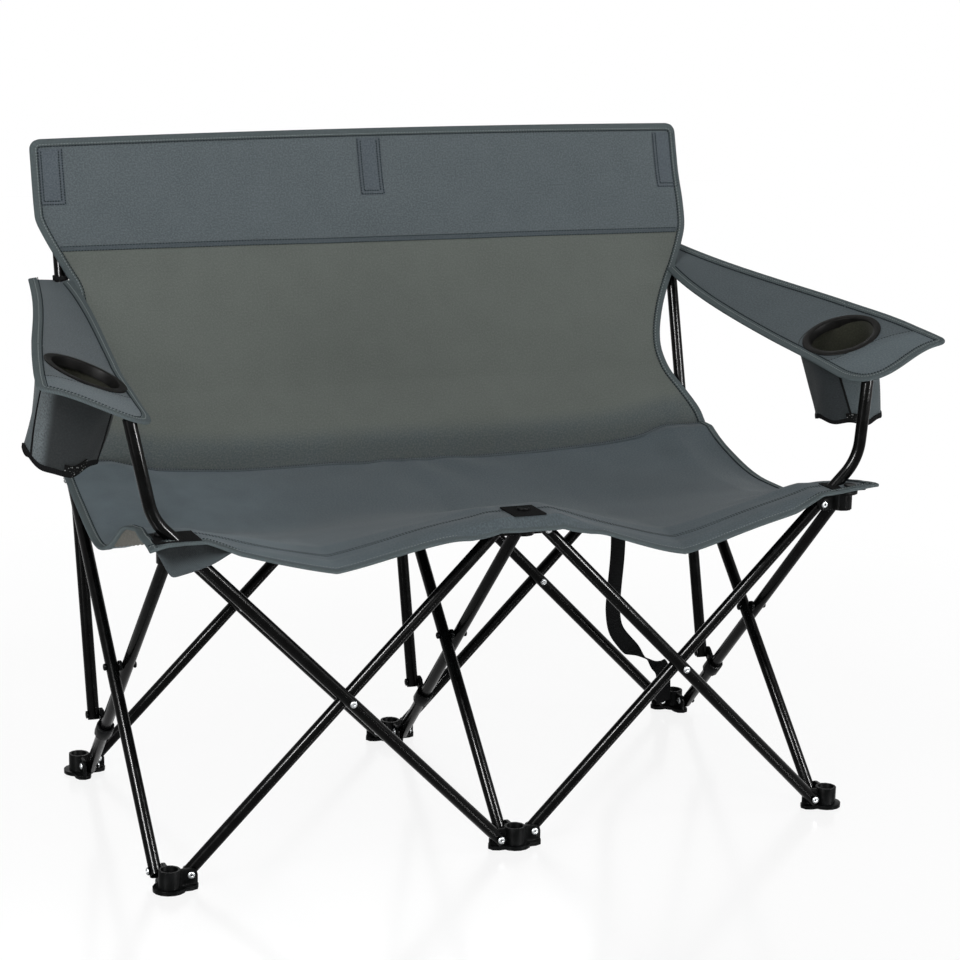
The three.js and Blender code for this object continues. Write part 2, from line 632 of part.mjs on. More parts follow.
// Corner patches with their studs
for (const column of order) {
  const at = place("front", column);
  const low = SEAT_Z + CLOTH / 2 + FIT_GAP;
  const sheet = box(
    V(at.x - PATCH_X / 2, at.y - PATCH_Y / 2, low),
    V(at.x + PATCH_X / 2, at.y + PATCH_Y / 2, low + PATCH_T),
  );
  const s = studs[column];
  const head = low + PATCH_T;
  const stud = turned(
    [
      [0, FLANGE_Z - 3],
      [PIN_R, FLANGE_Z - 3],
      [PIN_R, low + 0.5],
      [8, low + 0.5],
      [8, head + 0.8],
      [5.5, head + 2],
      [0, head + 2.2],
    ],
    Z,
    V(s.x, s.y, 0),
    12,
  );
  const notch = sweeps[column] ? [sweeps[column]] : [];
  add(`patch_${column}`, cut(sheet, notch).add(stud), black);
}

// Back cloth: wide at its lower corners, drawn in above them, and wide again over the uprights' tops.
// Each side is a curve through shares of the height and widths beyond the outer columns.
const BACK_FOOT_Z = SEAT_Z + CREASE_GAP;
const backCurve = new THREE.CatmullRomCurve3(
  [
    [0, 27],
    [0.03, 14],
    [0.11, -10],
    [0.21, -28],
    [0.34, -33],
    [0.49, -26],
    [0.62, -4],
    [0.72, 17],
    [0.95, 24],
    [1, 20],
  ].map(([h, w]) => V(w, 0, BACK_FOOT_Z + (BACK_TOP_Z - BACK_FOOT_Z) * h)),
);
const backSide = backCurve.getPoints(120);
const backHalf = (z) => {
  const k = Math.max(1, backSide.findIndex((p) => p.z >= z));
  const [p, q] = [backSide[k - 1], backSide[k]];
  return PITCH + p.x + (q.x - p.x) * share((z - p.z) / (q.z - p.z));
};
function backPoint(u, z) {
  const x = (2 * u - 1) * backHalf(z);
  const foot = seatPoint(x, rearY(x)).z + CREASE_GAP;
  const high = z + (foot - BACK_FOOT_Z) * share((SEAM_Z - z) / (SEAM_Z - BACK_FOOT_Z));
  const behind = uprightAt(high) - BACK_AHEAD;
  const curl = smooth((high - FLANGE_TOP - CREASE_GAP) / CURL_H);
  return V(x, between(rearY(x) + 1, behind, curl), high);
}
const backU = stops(20);
const panelZ = [0, 0.07, 0.15, 0.24, 0.36, 0.5, 0.7, 0.86, 1];
const PANEL_TOP = SEAM_Z - FIT_GAP;
add(
  "back_panel",
  cloth(backU, panelZ, (u, v) => backPoint(u, BACK_FOOT_Z + (PANEL_TOP - BACK_FOOT_Z) * v)),
  warm,
);

/** Pocket behind the band that the end of an upright goes into. */
function sleeve(x) {
  const z = BACK_TOP_Z - UPRIGHT_TOP_GAP;
  const end = V(x, uprightAt(z), z);
  const side = X.clone();
  const out = side.clone().cross(uprightDir);
  const d = SLEEVE_HALF + POCKET_WALL;
  const slab = (a0, a1, b0, b1, c0, c1) => {
    const g = new THREE.BoxGeometry(a1 - a0, b1 - b0, c1 - c0);
    g.translate((a0 + a1) / 2, (b0 + b1) / 2, (c0 + c1) / 2);
    g.applyMatrix4(new THREE.Matrix4().makeBasis(side, out, uprightDir).setPosition(end));
    return solid(g);
  };
  const inner = slab(-SLEEVE_HALF, SLEEVE_HALF, -TUBE_R - 1, TUBE_R + 1, -SLEEVE_LEN - 5, 1);
  const outer = slab(-d, d, -TUBE_R - 1 - POCKET_WALL, BACK_AHEAD, -SLEEVE_LEN, 1 + POCKET_WALL);
  return outer.subtract(inner);
}
const band = cloth(backU, stops(4), (u, v) => backPoint(u, SEAM_Z + (BACK_TOP_Z - SEAM_Z) * v));
add("back_band", fuse([band, ...order.map((c) => sleeve(COLUMNS[c]))]), slate);

// Armrests with cup holders
/** The point of a surface straight above or below another point. */
function sheetAbove(at, p) {
  let best = at(0, 1);
  for (const u of stops(60)) {
    for (const v of [0.86, 0.88, 0.9, 0.92, 0.94, 0.96, 0.98, 1]) {
      const q = at(u, v);
      const far = (a) => Math.hypot(a.x - p.x, a.y - p.y);
      if (far(q) < far(best)) best = q;
    }
  }
  return best;
}

function rest(side) {
  const post = (side < 0 ? armLeft : armRight).top;
  const at = (x, y, z) => V(side * x, y, z);
  const byUpright = (x, behind, z) => at(PITCH + x, uprightAt(z) + behind, z);
  const from = (p, x, y, z) => p.clone().add(at(x, y, z));
  const innerRear = byUpright(-REST_REAR_IN, -REST_REAR_AHEAD, REST_REAR_Z - 6);
  const outerRear = byUpright(REST_REAR_OUT, REST_REAR_BEHIND, REST_REAR_Z + 6);
  const innerFront = at(PITCH + REST_FRONT_IN, ROWS.front + 26, ARM_TOP_Z + 1);
  const outerFront = from(innerFront, REST_FRONT_W, -30, REST_TILT_Z);
  const inner = new THREE.CubicBezierCurve3(
    innerRear,
    from(innerRear, -17, -145, -41),
    from(innerFront, -5, 155, 16),
    innerFront,
  );
  const outer = new THREE.CubicBezierCurve3(
    outerRear,
    from(outerRear, 33, -217, -21),
    from(outerFront, -13, 197, 35),
    outerFront,
  );
  const front = new THREE.CubicBezierCurve3(
    innerFront,
    V(innerFront.x + side * 28, post.y - REST_BULGE, innerFront.z + 2),
    from(outerFront, -43, 30, -3),
    outerFront,
  );
  const plain = (u, v) => {
    const p = inner.getPoint(v).lerp(outer.getPoint(v), u);
    const ahead = front.getPoint(u).sub(innerFront.clone().lerp(outerFront, u));
    return p.addScaledVector(ahead, v ** 6);
  };
  const wantY = ROWS.front + RING_BACK;
  const mid = (v) => plain(RING_SHARE, v);
  let v0 = 0.8;
  for (let i = 0; i < 30; i++) v0 -= (mid(v0).y - wantY) / (mid(1).y - mid(0).y);
  const centre = mid(v0);
  const du = plain(1, v0).sub(plain(0, v0)).normalize();
  const dv = mid(v0 + 0.02).sub(mid(v0 - 0.02)).normalize();
  const up = du.clone().cross(dv).normalize();
  if (up.z < 0) up.negate();
  const flatten = (u, v) => {
    const p = plain(u, v);
    const off = p.clone().sub(centre);
    const high = off.dot(up);
    const away = Math.sqrt(Math.max(0, off.lengthSq() - high * high));
    const w = 1 - Math.max(0, Math.min(1, (away - RING_R - 8) / 40));
    return p.addScaledVector(up, -high * w);
  };
  const sheet = cloth(stops(6), [0, 0.14, 0.3, 0.46, 0.58, 0.68, 0.78, 0.87, 0.95, 1], flatten);
  const hole = rod(RING_R - RING_LAP, 40, up, centre, 28);
  const name = side < 0 ? "left" : "right";

  // A sleeve under the front end takes the arm tube, and a loop at the rear end goes round the upright
  const lean = V(side * Math.sin(ARM_LEAN), 0, Math.cos(ARM_LEAN));
  const bore = TUBE_R + 0.4;
  const wall = bore + POCKET_WALL;
  const over = post.clone().addScaledVector(lean, 0.4);
  const cap = rod(wall, CAP_LEN + 24, lean, over.clone().addScaledVector(lean, 12 - CAP_LEN / 2), 12);
  const capBore = rod(bore, CAP_LEN + 20, lean, over.clone().addScaledVector(lean, -CAP_LEN / 2 - 10), 12);
  const slope = plain(1, 0.97).sub(plain(0, 0.97)).normalize();
  const along = plain(0.3, 0.99).sub(plain(0.3, 0.93)).normalize();
  const normal = slope.clone().cross(along).normalize().multiplyScalar(-side);
  if (normal.z < 0) normal.negate();
  const skin = sheetAbove(flatten, post).addScaledVector(normal, CLOTH / 2 - 0.3);
  const above = new THREE.BoxGeometry(120, 120, 80);
  above.translate(0, 0, 40);
  above.applyQuaternion(new THREE.Quaternion().setFromUnitVectors(Z, normal));
  above.translate(skin.x, skin.y, skin.z);
  const held = V(side * PITCH, uprightAt(REST_REAR_Z), REST_REAR_Z);
  const loop = rod(wall, LOOP_LEN, uprightDir, held, 12);
  const loopBore = rod(bore, 3 * LOOP_LEN, uprightDir, held, 12);
  const skins = fuse([sheet, cap.subtract(solid(above)), loop]);
  add(`armrest_${name}`, cut(skins, [hole, capBore, loopBore]), slate);

  const lift = CLOTH / 2 + 2 * FIT_GAP;
  const ring = turned(
    [
      [RING_BORE_R, -RING_DEPTH],
      [RING_COLLAR_R, -RING_DEPTH],
      [RING_COLLAR_R, lift],
      [RING_R, lift],
      [RING_R - 1, lift + RING_T * 0.7],
      [RING_BORE_R + 2, lift + RING_T],
      [RING_BORE_R, lift + RING_T * 0.6],
      [RING_BORE_R, -RING_DEPTH],
    ],
    up,
    centre,
    24,
  );
  add(`cup_ring_${name}`, ring, plastic);

  // The pocket hangs straight down from a rim that lies against the tilted ring
  const sides = 20;
  const base = centre.clone().add(V(side * POCKET_LEAN, 0, -POCKET_DEPTH));
  const ax = V(0, 1, 0).cross(up).normalize();
  const ay = up.clone().cross(ax);
  const rimRing = (r, drop) =>
    Array.from({ length: sides }, (_, k) => {
      const a = (2 * Math.PI * k) / sides;
      return centre
        .clone()
        .addScaledVector(ax, r * Math.cos(a))
        .addScaledVector(ay, r * Math.sin(a))
        .addScaledVector(up, -drop);
    });
  const footRing = (r, raise) =>
    Array.from({ length: sides }, (_, k) => {
      const a = (2 * Math.PI * k) / sides;
      return base.clone().add(V(r * Math.cos(a), r * Math.sin(a), raise));
    });
  const start = CLOTH / 2 + FIT_GAP;
  const loops = [
    footRing(0.01, 0),
    footRing(POCKET_FOOT_R - 5, 0),
    footRing(POCKET_FOOT_R, 6),
    rimRing(POCKET_R, start),
    rimRing(POCKET_R - POCKET_WALL, start),
    footRing(POCKET_FOOT_R - POCKET_WALL, 6 + POCKET_WALL),
    footRing(POCKET_FOOT_R - 5 - POCKET_WALL, POCKET_WALL),
    footRing(0.01, POCKET_WALL),
  ];
  const points = loops.slice(1, -1).flat();
  const index = [];
  for (let i = 0; i < 5; i++) {
    for (let k = 0; k < sides; k++) {
      const m = (k + 1) % sides;
      const [a, b] = [i * sides, (i + 1) * sides];
      index.push(a + k, a + m, b + m, a + k, b + m, b + k);
    }
  }
  const low = points.push(base.clone()) - 1;
  const high = points.push(base.clone().add(V(0, 0, POCKET_WALL))) - 1;
  for (let k = 0; k < sides; k++) {
    const m = (k + 1) % sides;
    index.push(low, m, k, high, 5 * sides + k, 5 * sides + m);
  }
  add(`cup_pocket_${name}`, solid(indexed(points, index)), slate);
  return post;
}
rest(-1);
rest(1);

// Carry strap: hangs from under the seat's rear edge to the rear right foot. Each stop of its route is
// a share of the way out to the foot, a share of the way back to it, and a share of the drop.
const strapFoot = footPin("rear", "right", -1, 0);
const strapEnd = V(strapFoot.x, strapFoot.y - HEAD_AT - HEAD_T - STRAP_T / 2 - FIT_GAP, FOOT_PIN_Z);
const strapTop = V(strapFoot.x - STRAP_IN, REAR_Y - STRAP_SET, 0);
strapTop.z = seatPoint(strapTop.x, strapTop.y).z - CLOTH / 2 - STRAP_LOW;
const strapStops = [
  [0, 0, 0],
  [-0.03, -0.4, 0.34],
  [-0.06, -0.5, 0.56],
  [0.03, -0.4, 0.69],
  [0.24, -0.05, 0.76],
  [0.56, 0.3, 0.81],
  [0.81, 0.5, 0.855],
  [1, 1, 1],
];
const strapRun = new THREE.CatmullRomCurve3(
  strapStops.map(([out, back, drop]) =>
    V(
      between(strapTop.x, strapEnd.x, out),
      between(strapTop.y, strapEnd.y, back),
      between(strapTop.z, strapEnd.z, drop),
    ),
  ),
);
const strapPoint = (u, v) => {
  const across = strapRun.getTangent(u).cross(Y).normalize();
  return strapRun.getPoint(u).addScaledVector(across, STRAP_W * (v - 0.5));
};
add("strap", cloth(stops(26), [0, 1], strapPoint, STRAP_T), black);

// The part's frame: middle of its plan, on the floor
const whole = new THREE.Box3().setFromObject(group);
const plan = whole.getCenter(V(0, 0, 0));
group.children.forEach((mesh) => mesh.geometry.translate(-plan.x, -plan.y, 0));

export default group;
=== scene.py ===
"""Looks of a folding camp loveseat: tubes, mouldings, cloth and trim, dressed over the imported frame.

Lengths are millimetres in the chair's own layout, whose middle lies between the front and rear rows.
Layout.world turns them to metres in the frame's axes.
"""

import logging
import math
from collections.abc import Callable, Sequence
from dataclasses import dataclass, field
from enum import Enum

import bpy
import numpy as np
from mathutils import Matrix, Vector

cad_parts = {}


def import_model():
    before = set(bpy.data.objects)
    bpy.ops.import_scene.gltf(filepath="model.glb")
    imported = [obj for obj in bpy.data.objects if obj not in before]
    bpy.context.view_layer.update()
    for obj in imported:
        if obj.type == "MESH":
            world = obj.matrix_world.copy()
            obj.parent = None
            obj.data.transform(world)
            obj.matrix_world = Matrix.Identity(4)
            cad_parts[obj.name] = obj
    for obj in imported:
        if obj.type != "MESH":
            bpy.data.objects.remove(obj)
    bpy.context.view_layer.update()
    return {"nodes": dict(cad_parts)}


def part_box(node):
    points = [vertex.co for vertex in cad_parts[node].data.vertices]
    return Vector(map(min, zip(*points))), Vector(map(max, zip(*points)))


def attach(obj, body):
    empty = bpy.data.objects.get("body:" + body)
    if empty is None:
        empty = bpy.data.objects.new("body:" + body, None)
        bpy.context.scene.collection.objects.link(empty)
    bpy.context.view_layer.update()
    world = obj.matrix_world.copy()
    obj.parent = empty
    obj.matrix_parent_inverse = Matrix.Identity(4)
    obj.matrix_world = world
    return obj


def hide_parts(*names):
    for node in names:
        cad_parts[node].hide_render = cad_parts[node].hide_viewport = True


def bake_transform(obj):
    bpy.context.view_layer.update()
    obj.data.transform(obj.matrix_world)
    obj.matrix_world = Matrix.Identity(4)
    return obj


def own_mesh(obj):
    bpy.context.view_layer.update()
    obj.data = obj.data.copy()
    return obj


LOG = logging.getLogger("loveseat")
MM = 0.001
DULL = 0.015  # gloss of cloth, tape and net
WHITE = (1.0, 1.0, 1.0, 1.0)
UP = np.array([0.0, 0.0, 1.0])
Array = np.ndarray
Pair = tuple[float, float]
Point = tuple[float, float, float]
Line = tuple[Array, Array, Array]  # a line's points, the directions across it and the normals
Surface = Callable[[Array, Array], Array]
Thing = bpy.types.Object
Material = bpy.types.Material
Tree = bpy.types.NodeTree
Socket = bpy.types.NodeSocket


class Named(Enum):
    """A choice whose name is its word in the nodes and, by its first letter, in the bodies."""

    @property
    def word(self) -> str:
        """The word in the nodes."""
        return self.name.lower()

    @property
    def letter(self) -> str:
        """The letter in the bodies."""
        return self.word[0]


class Side(Named):
    """A left or right sub-assembly, by the sign of its x."""

    LEFT = -1
    RIGHT = 1


class Row(Named):
    """A front or rear row of feet and hubs, by the sign of its y."""

    FRONT = -1
    REAR = 1


class Column(Named):
    """A left, middle or right column of feet and hubs, by its place across."""

    LEFT = -1
    MIDDLE = 0
    RIGHT = 1


def share(x: Array | float) -> Array:
    """A number held between 0 and 1."""
    return np.clip(x, 0.0, 1.0)


def smooth(x: Array | float) -> Array:
    """A soft step from 0 to 1."""
    return share(x) ** 2 * (3 - 2 * share(x))


def unit(vectors: Array) -> Array:
    """Vectors brought to length one."""
    return vectors / np.maximum(np.linalg.norm(vectors, axis=-1, keepdims=True), 1e-12)


def bezier(corners: Array, t: Array) -> Array:
    """Points of a cubic curve.

    Args:
        corners: The curve's two ends and, between them, its two handles.
        t: Places along it, from 0 to 1.

    Returns:
        One point for each place.
    """
    t = np.asarray(t, float)[..., None]
    a, b, c, d = (np.asarray(p, float) for p in corners)
    return (1 - t) ** 3 * a + 3 * (1 - t) ** 2 * t * b + 3 * (1 - t) * t * t * c + t**3 * d


def rounded_path(stops: Array, count: int) -> Array:
    """A smooth line through some stops.

    Args:
        stops: The points that the line goes through.
        count: How many points the line gets.

    Returns:
        Points along the line, evenly by stop.
    """
    stops = np.asarray(stops, float)
    padded = np.vstack([2 * stops[0] - stops[1], stops, 2 * stops[-1] - stops[-2]])
    knots = np.concatenate([[0], np.cumsum(np.linalg.norm(np.diff(padded, axis=0), axis=1) ** 0.5)])
    found = []
    for t in np.linspace(0, len(stops) - 1, count):
        k = min(int(t), len(stops) - 2)
        p, s = padded[k : k + 4], knots[k : k + 4]
        x = s[1] + (s[2] - s[1]) * (t - k)
        low = [
            (s[i + 1] - x) / (s[i + 1] - s[i]) * p[i] + (x - s[i]) / (s[i + 1] - s[i]) * p[i + 1]
            for i in range(3)
        ]
        mid = [
            (s[i + 2] - x) / (s[i + 2] - s[i]) * low[i] + (x - s[i]) / (s[i + 2] - s[i]) * low[i + 1]
            for i in range(2)
        ]
        found.append((s[2] - x) / (s[2] - s[1]) * mid[0] + (x - s[1]) / (s[2] - s[1]) * mid[1])
    return np.array(found)


def reached(path: Array) -> Array:
    """The length of a line up to each of its points."""
    return np.concatenate([[0], np.cumsum(np.linalg.norm(np.diff(path, axis=0), axis=1))])


def length_of(path: Array) -> float:
    """The length of a line."""
    return float(np.linalg.norm(np.diff(path, axis=0), axis=1).sum())


def values_at(at: Array, length: Array, values: Array) -> Array:
    """The values, by column, at some lengths along a line."""
    return np.stack([np.interp(at, length, column) for column in values.T], axis=1)


def evenly(path: Array, step: float) -> Array:
    """A line cut to equal steps.

    Args:
        path: The line's points.
        step: The step's length, in the points' own unit.

    Returns:
        Points at equal distances along the line.
    """
    length = reached(path)
    count = max(2, int(length[-1] / step) + 1)
    return values_at(np.linspace(0, length[-1], count), length, path)


def linear(colour: str) -> tuple[float, float, float, float]:
    """An sRGB hex colour as linear light.

    Args:
        colour: Six hex digits after a hash.

    Returns:
        Red, green, blue and a full alpha.
    """
    parts = [int(colour[i : i + 2], 16) / 255 for i in (1, 3, 5)]
    red, green, blue = (c / 12.92 if c <= 0.04045 else ((c + 0.055) / 1.055) ** 2.4 for c in parts)
    return red, green, blue, 1.0


def add_node(
    tree: Tree, kind: str, inputs: dict[str | int, object] | None = None, **settings: object
) -> bpy.types.Node:
    """Adds a node with its settings and links.

    Args:
        tree: The node tree that it goes in.
        kind: The node's type, after its first word ShaderNode.
        inputs: What its sockets hold: a socket to link from, or a value.
        settings: The node's own options.

    Returns:
        The new node.
    """
    made = tree.nodes.new(f"ShaderNode{kind}")
    for key, value in settings.items():
        setattr(made, key, value)
    for key, value in (inputs or {}).items():
        if isinstance(value, Socket):
            tree.links.new(value, made.inputs[key])
        else:
            made.inputs[key].default_value = value
    return made


def computed(tree: Tree, operation: str, *values: object) -> Socket:
    """The outcome of a sum on some sockets or values."""
    return add_node(tree, "Math", dict(enumerate(values)), operation=operation).outputs[0]


def grains_per(size: float) -> float:
    """The scale of a texture that gives blots of about a number of millimetres."""
    return 1 / (size * MM)


def noise(tree: Tree, place: Socket, size: float, detail: float) -> Socket:
    """Noise with blots of about a size in millimetres, along some coordinates."""
    return add_node(
        tree, "TexNoise", {"Vector": place, "Scale": grains_per(size), "Detail": detail}
    ).outputs["Fac"]


def bands(tree: Tree, cut: Socket, spacing: float, axis: str) -> Socket:
    """Soft bands across one axis of the cut, so many millimetres apart."""
    scale = math.tau / 20 / (spacing * MM)
    return add_node(tree, "TexWave", {"Vector": cut, "Scale": scale}, bands_direction=axis).outputs["Fac"]


def ranged(tree: Tree, value: Socket, ends: Pair, to: Pair = (0.0, 1.0), **settings: object) -> Socket:
    """A value between two ends, brought to lie between two others."""
    inputs = {"Value": value, "From Min": ends[0], "From Max": ends[1], "To Min": to[0], "To Max": to[1]}
    return add_node(tree, "MapRange", inputs, **settings).outputs["Result"]


def ramp(tree: Tree, value: Socket, *stops: tuple[float, str]) -> Socket:
    """A colour that changes with a value, from one stop to the next."""
    tone = add_node(tree, "ValToRGB", {"Fac": value})
    for element, (place, colour) in zip(tone.color_ramp.elements, stops):
        element.position = place
        element.color = linear(colour)
    return tone.outputs["Color"]


def relief(tree: Tree, height: Socket, strength: float, depth: float, **settings: object) -> Socket:
    """The normals of a fine relief, its depth in millimetres."""
    inputs = {"Height": height, "Strength": strength, "Distance": depth * MM}
    return add_node(tree, "Bump", inputs, **settings).outputs["Normal"]


@dataclass(frozen=True)
class Finish:
    """A surface as it was made, with the look that this gives it."""

    name: str

    def tree(self) -> tuple[Material, Tree]:
        """An empty material of this name, and its node tree."""
        material = bpy.data.materials.new(self.name)
        material.use_nodes = True
        material.node_tree.nodes.clear()
        return material, material.node_tree

    def close(
        self, tree: Tree, colour: Socket, roughness: Socket | float, shine: float, normal: Socket,
        **others: float,
    ) -> None:
        """Ends a tree in one shader.

        Args:
            tree: The material's tree.
            colour: The base colour.
            roughness: The roughness.
            shine: The strength of the gloss.
            normal: The relief.
            others: More of the shader's sockets, by their names in lower case.
        """
        inputs = {"Base Color": colour, "Roughness": roughness, "Specular IOR Level": shine, "Normal": normal}
        inputs |= {name.replace("_", " ").title(): value for name, value in others.items()}
        shader = add_node(tree, "BsdfPrincipled", inputs)
        add_node(tree, "OutputMaterial", {"Surface": shader.outputs["BSDF"]})

    def material(self) -> Material:
        """The finish as a material; each kind of finish makes its own."""
        raise NotImplementedError


@dataclass(frozen=True)
class WovenPolyester(Finish):
    """Coated polyester canvas: a dull, fine plain weave with flecked threads and soft blotches."""

    colour: str = "#565E62"
    worn: str = "#6D7578"
    deep: str = "#4A5255"
    thread: float = 2.2  # real threads lie 0.5 mm apart; drawn coarser, so that the weave shows
    fleck: float = 2.3
    fleck_ends: Pair = (0.4, 0.68)
    flecked: float = 0.6
    blotch: float = 38.0
    blotch_ends: Pair = (0.32, 0.68)
    blotched: float = 0.34
    roughness: float = 0.86
    relief: float = 0.55
    depth: float = 0.6
    sheen: float = 0.12
    # A second colour graded in along one axis of the cut: some cloths below use it for painted light, others
    # for painted shade.
    fade_colour: str = ""
    fade_axis: str = "Y"
    fade: Pair = (31.0, 62.0)

    def material(self) -> Material:
        """The cloth, woven along its own cut."""
        material, tree = self.tree()
        cut = add_node(tree, "TexCoord").outputs["UV"]
        place = add_node(tree, "TexCoord").outputs["Object"]
        over = computed(tree, "SUBTRACT", bands(tree, cut, self.thread, "X"), 0.5)
        under = computed(tree, "SUBTRACT", bands(tree, cut, self.thread, "Y"), 0.5)
        weave = computed(tree, "MULTIPLY", over, under)
        fleck = noise(tree, cut, self.fleck, 2.0)
        soft = ranged(tree, noise(tree, place, self.blotch, 3.0), self.blotch_ends)
        base: Socket | tuple[float, float, float, float] = linear(self.colour)
        # The graded colour paints light on some cloths and shade on others.
        if self.fade_colour:
            along = add_node(tree, "SeparateXYZ", {"Vector": cut}).outputs[self.fade_axis]
            ends = (self.fade[0] * MM, self.fade[1] * MM)
            rise = ranged(tree, along, ends, interpolation_type="SMOOTHSTEP")
            base = self.mixed(tree, rise, linear(self.fade_colour), base, 1.0)
        ground = self.mixed(tree, soft, base, linear(self.deep), self.blotched)
        bright = ranged(tree, fleck, self.fleck_ends)
        colour = self.mixed(tree, bright, ground, linear(self.worn), self.flecked)
        raised = relief(tree, computed(tree, "MULTIPLY_ADD", fleck, 0.35, weave), self.relief, self.depth)
        self.close(tree, colour, self.roughness, DULL, raised, sheen_weight=self.sheen, sheen_roughness=0.5)
        return material

    def mixed(self, tree: Tree, where: Socket, low: object, high: object, most: float) -> Socket:
        """One colour with another laid over it, as far as where says and by the share most."""
        inputs = {0: computed(tree, "MULTIPLY", where, most), 6: low, 7: high}
        return add_node(tree, "Mix", inputs, data_type="RGBA").outputs[2]


@dataclass(frozen=True)
class Webbing(Finish):
    """Woven nylon or polyester tape: fine ribs across its length, dull and a little worn."""

    colour: str = "#070707"
    worn: str = "#141516"
    rib: float = 2.4  # real ribs lie 0.8 mm apart; drawn coarser, so that they show
    fuzz: float = 1.5
    roughness: float = 0.8

    def material(self) -> Material:
        """The tape, ribbed across its own length."""
        material, tree = self.tree()
        cut = add_node(tree, "TexCoord").outputs["UV"]
        ribs = bands(tree, cut, self.rib, "X")
        tone = computed(tree, "MULTIPLY_ADD", ribs, 0.5, noise(tree, cut, self.fuzz, 2.0))
        colour = ramp(tree, tone, (0.35, self.colour), (1.0, self.worn))
        self.close(tree, colour, self.roughness, DULL, relief(tree, ribs, 0.5, 0.5))
        return material


@dataclass(frozen=True)
class Moulded(Finish):
    """Injection-moulded or coated black: an even gloss broken by a faint orange peel or grit."""

    colour: str = "#121314"
    worn: str = "#1E2021"
    roughness: float = 0.42
    grit: float = 1.4
    scuff: float = 14.0
    relief: float = 0.12
    shine: float = 0.28
    metallic: float = 0.0

    def material(self) -> Material:
        """The moulding, with its grit on the piece's own axes."""
        material, tree = self.tree()
        place = add_node(tree, "TexCoord").outputs["Object"]
        grit = noise(tree, place, self.grit, 3.0)
        scuff = noise(tree, place, self.scuff, 4.0)
        colour = ramp(tree, scuff, (0.4, self.colour), (0.75, self.worn))
        dull = ranged(tree, scuff, (0.3, 0.8), (self.roughness * 0.8, self.roughness * 1.3))
        raised = relief(tree, grit, self.relief, 0.4)
        self.close(tree, colour, dull, self.shine, raised, metallic=self.metallic)
        return material


@dataclass(frozen=True)
class Net(Finish):
    """Knitted net with a black ground and pale knots."""

    colour: str = "#0D0E0E"
    knot: str = "#8E908F"
    mesh: float = 2.7
    roughness: float = 0.85

    def material(self) -> Material:
        """The net, knotted along its own cut."""
        material, tree = self.tree()
        cut = add_node(tree, "TexCoord").outputs["UV"]
        inputs = {"Vector": cut, "Scale": grains_per(self.mesh), "Randomness": 0.8}
        knots = add_node(tree, "TexVoronoi", inputs).outputs["Distance"]
        colour = ramp(tree, knots, (0.16, self.knot), (0.34, self.colour))
        self.close(tree, colour, self.roughness, DULL, relief(tree, knots, 0.7, 0.8, invert=True))
        return material


SLATE = WovenPolyester("slate_polyester_canvas")
# The seat's slate canvas: a darker copy of the band's, as painted shade, with painted light graded in towards
# its left end.
SEAT_SLATE_PAINTED_SHADE_AND_LIGHT = WovenPolyester(
    "slate_seat_canvas", colour="#4F585D", worn="#646E72", deep="#444D51",
    fade_colour="#647076", fade_axis="X", fade=(120.0, 360.0),
)
# A darker copy of the slate canvas for the armrests: painted shade.
ARM_SLATE_PAINTED_SHADE = WovenPolyester("slate_armrest_canvas", colour="#4A5357", worn="#60696D", deep="#40484C")
# A lighter copy of the armrest canvas for the doubled front layer, graded in from its seam: painted light.
TIP_SLATE_PAINTED_LIGHT = WovenPolyester(
    "slate_armrest_tip_canvas", colour="#566166", worn="#6E797D", deep="#4A5357",
    fade_colour="#4A5357", fade=(0.0, 22.0),
)
# The lower panel's olive grey canvas; the darker, bluer slate graded in at its foot is painted light, the
# cast of the cloth that curls forward there to face up.
OLIVE = WovenPolyester(
    "olive_grey_polyester_canvas", colour="#616662", worn="#6E736E", deep="#565B57", fade_colour="#50585B"
)
# The left pocket's cloth: dark as painted shade under the armrest, with painted light graded in at its left.
LEFT_POCKET_PAINTED_SHADE_AND_LIGHT = WovenPolyester(
    "left_pocket_canvas", colour="#2A2D2E", worn="#333637", deep="#262829",
    fade_colour="#6C7477", fade_axis="X", fade=(191.0, 207.0),
)
# The right pocket's darker cloth: painted shade.
RIGHT_POCKET_PAINTED_SHADE = WovenPolyester("right_pocket_canvas", colour="#2D3133", worn="#383D3F", deep="#282B2D")
POCKET_OLIVE = WovenPolyester("olive_pocket_lining", colour="#33342B", worn="#3D3E34", deep="#292A22")
POCKET_SLATE = WovenPolyester("slate_pocket_canvas", colour="#4A5255", worn="#586062", deep="#40474A")
# The hanging flap's cloth: dark, and darker still towards its top: painted shade under the rolled hem.
FLAP_SLATE_PAINTED_SHADE = WovenPolyester(
    "shaded_flap_canvas", colour="#464D50", worn="#363C3E", deep="#363C3E",
    flecked=0.2, fade_colour="#0A0C0D", fade=(8.0, 22.0),
)
# A darker slate for the doubled seam across the back and the seat's rear fold: the doubled cloth, darkened
# partly as painted shade along the seam and the crease.
SEAM_SLATE_PARTLY_PAINTED_SHADE = WovenPolyester("slate_doubled_seam", colour="#495156", worn="#596266", deep="#40484C")
PATCH_SLATE = WovenPolyester("slate_patch_canvas", colour="#51595F", worn="#666E74", deep="#474F55")
LINING = WovenPolyester("khaki_seat_lining", colour="#504F49", worn="#696860", deep="#42413C")
BINDING = Webbing("slate_binding_tape", colour="#485052", worn="#596264", rib=1.8)
BLACK_TAPE = Webbing("black_nylon_webbing")
THREAD = Webbing("dark_polyester_thread", colour="#272D30", worn="#363D40", rib=1.2)
PALE_THREAD = Webbing("pale_polyester_thread", colour="#6F7777", worn="#878F8E", rib=1.2)
TUBE = Moulded(
    "black_enamelled_steel_tube", colour="#030303", worn="#070808",
    roughness=0.2, grit=2.2, relief=0.002, shine=0.045,
)
NYLON = Moulded("black_moulded_nylon", colour="#070808", worn="#101112", roughness=0.34, shine=0.03)
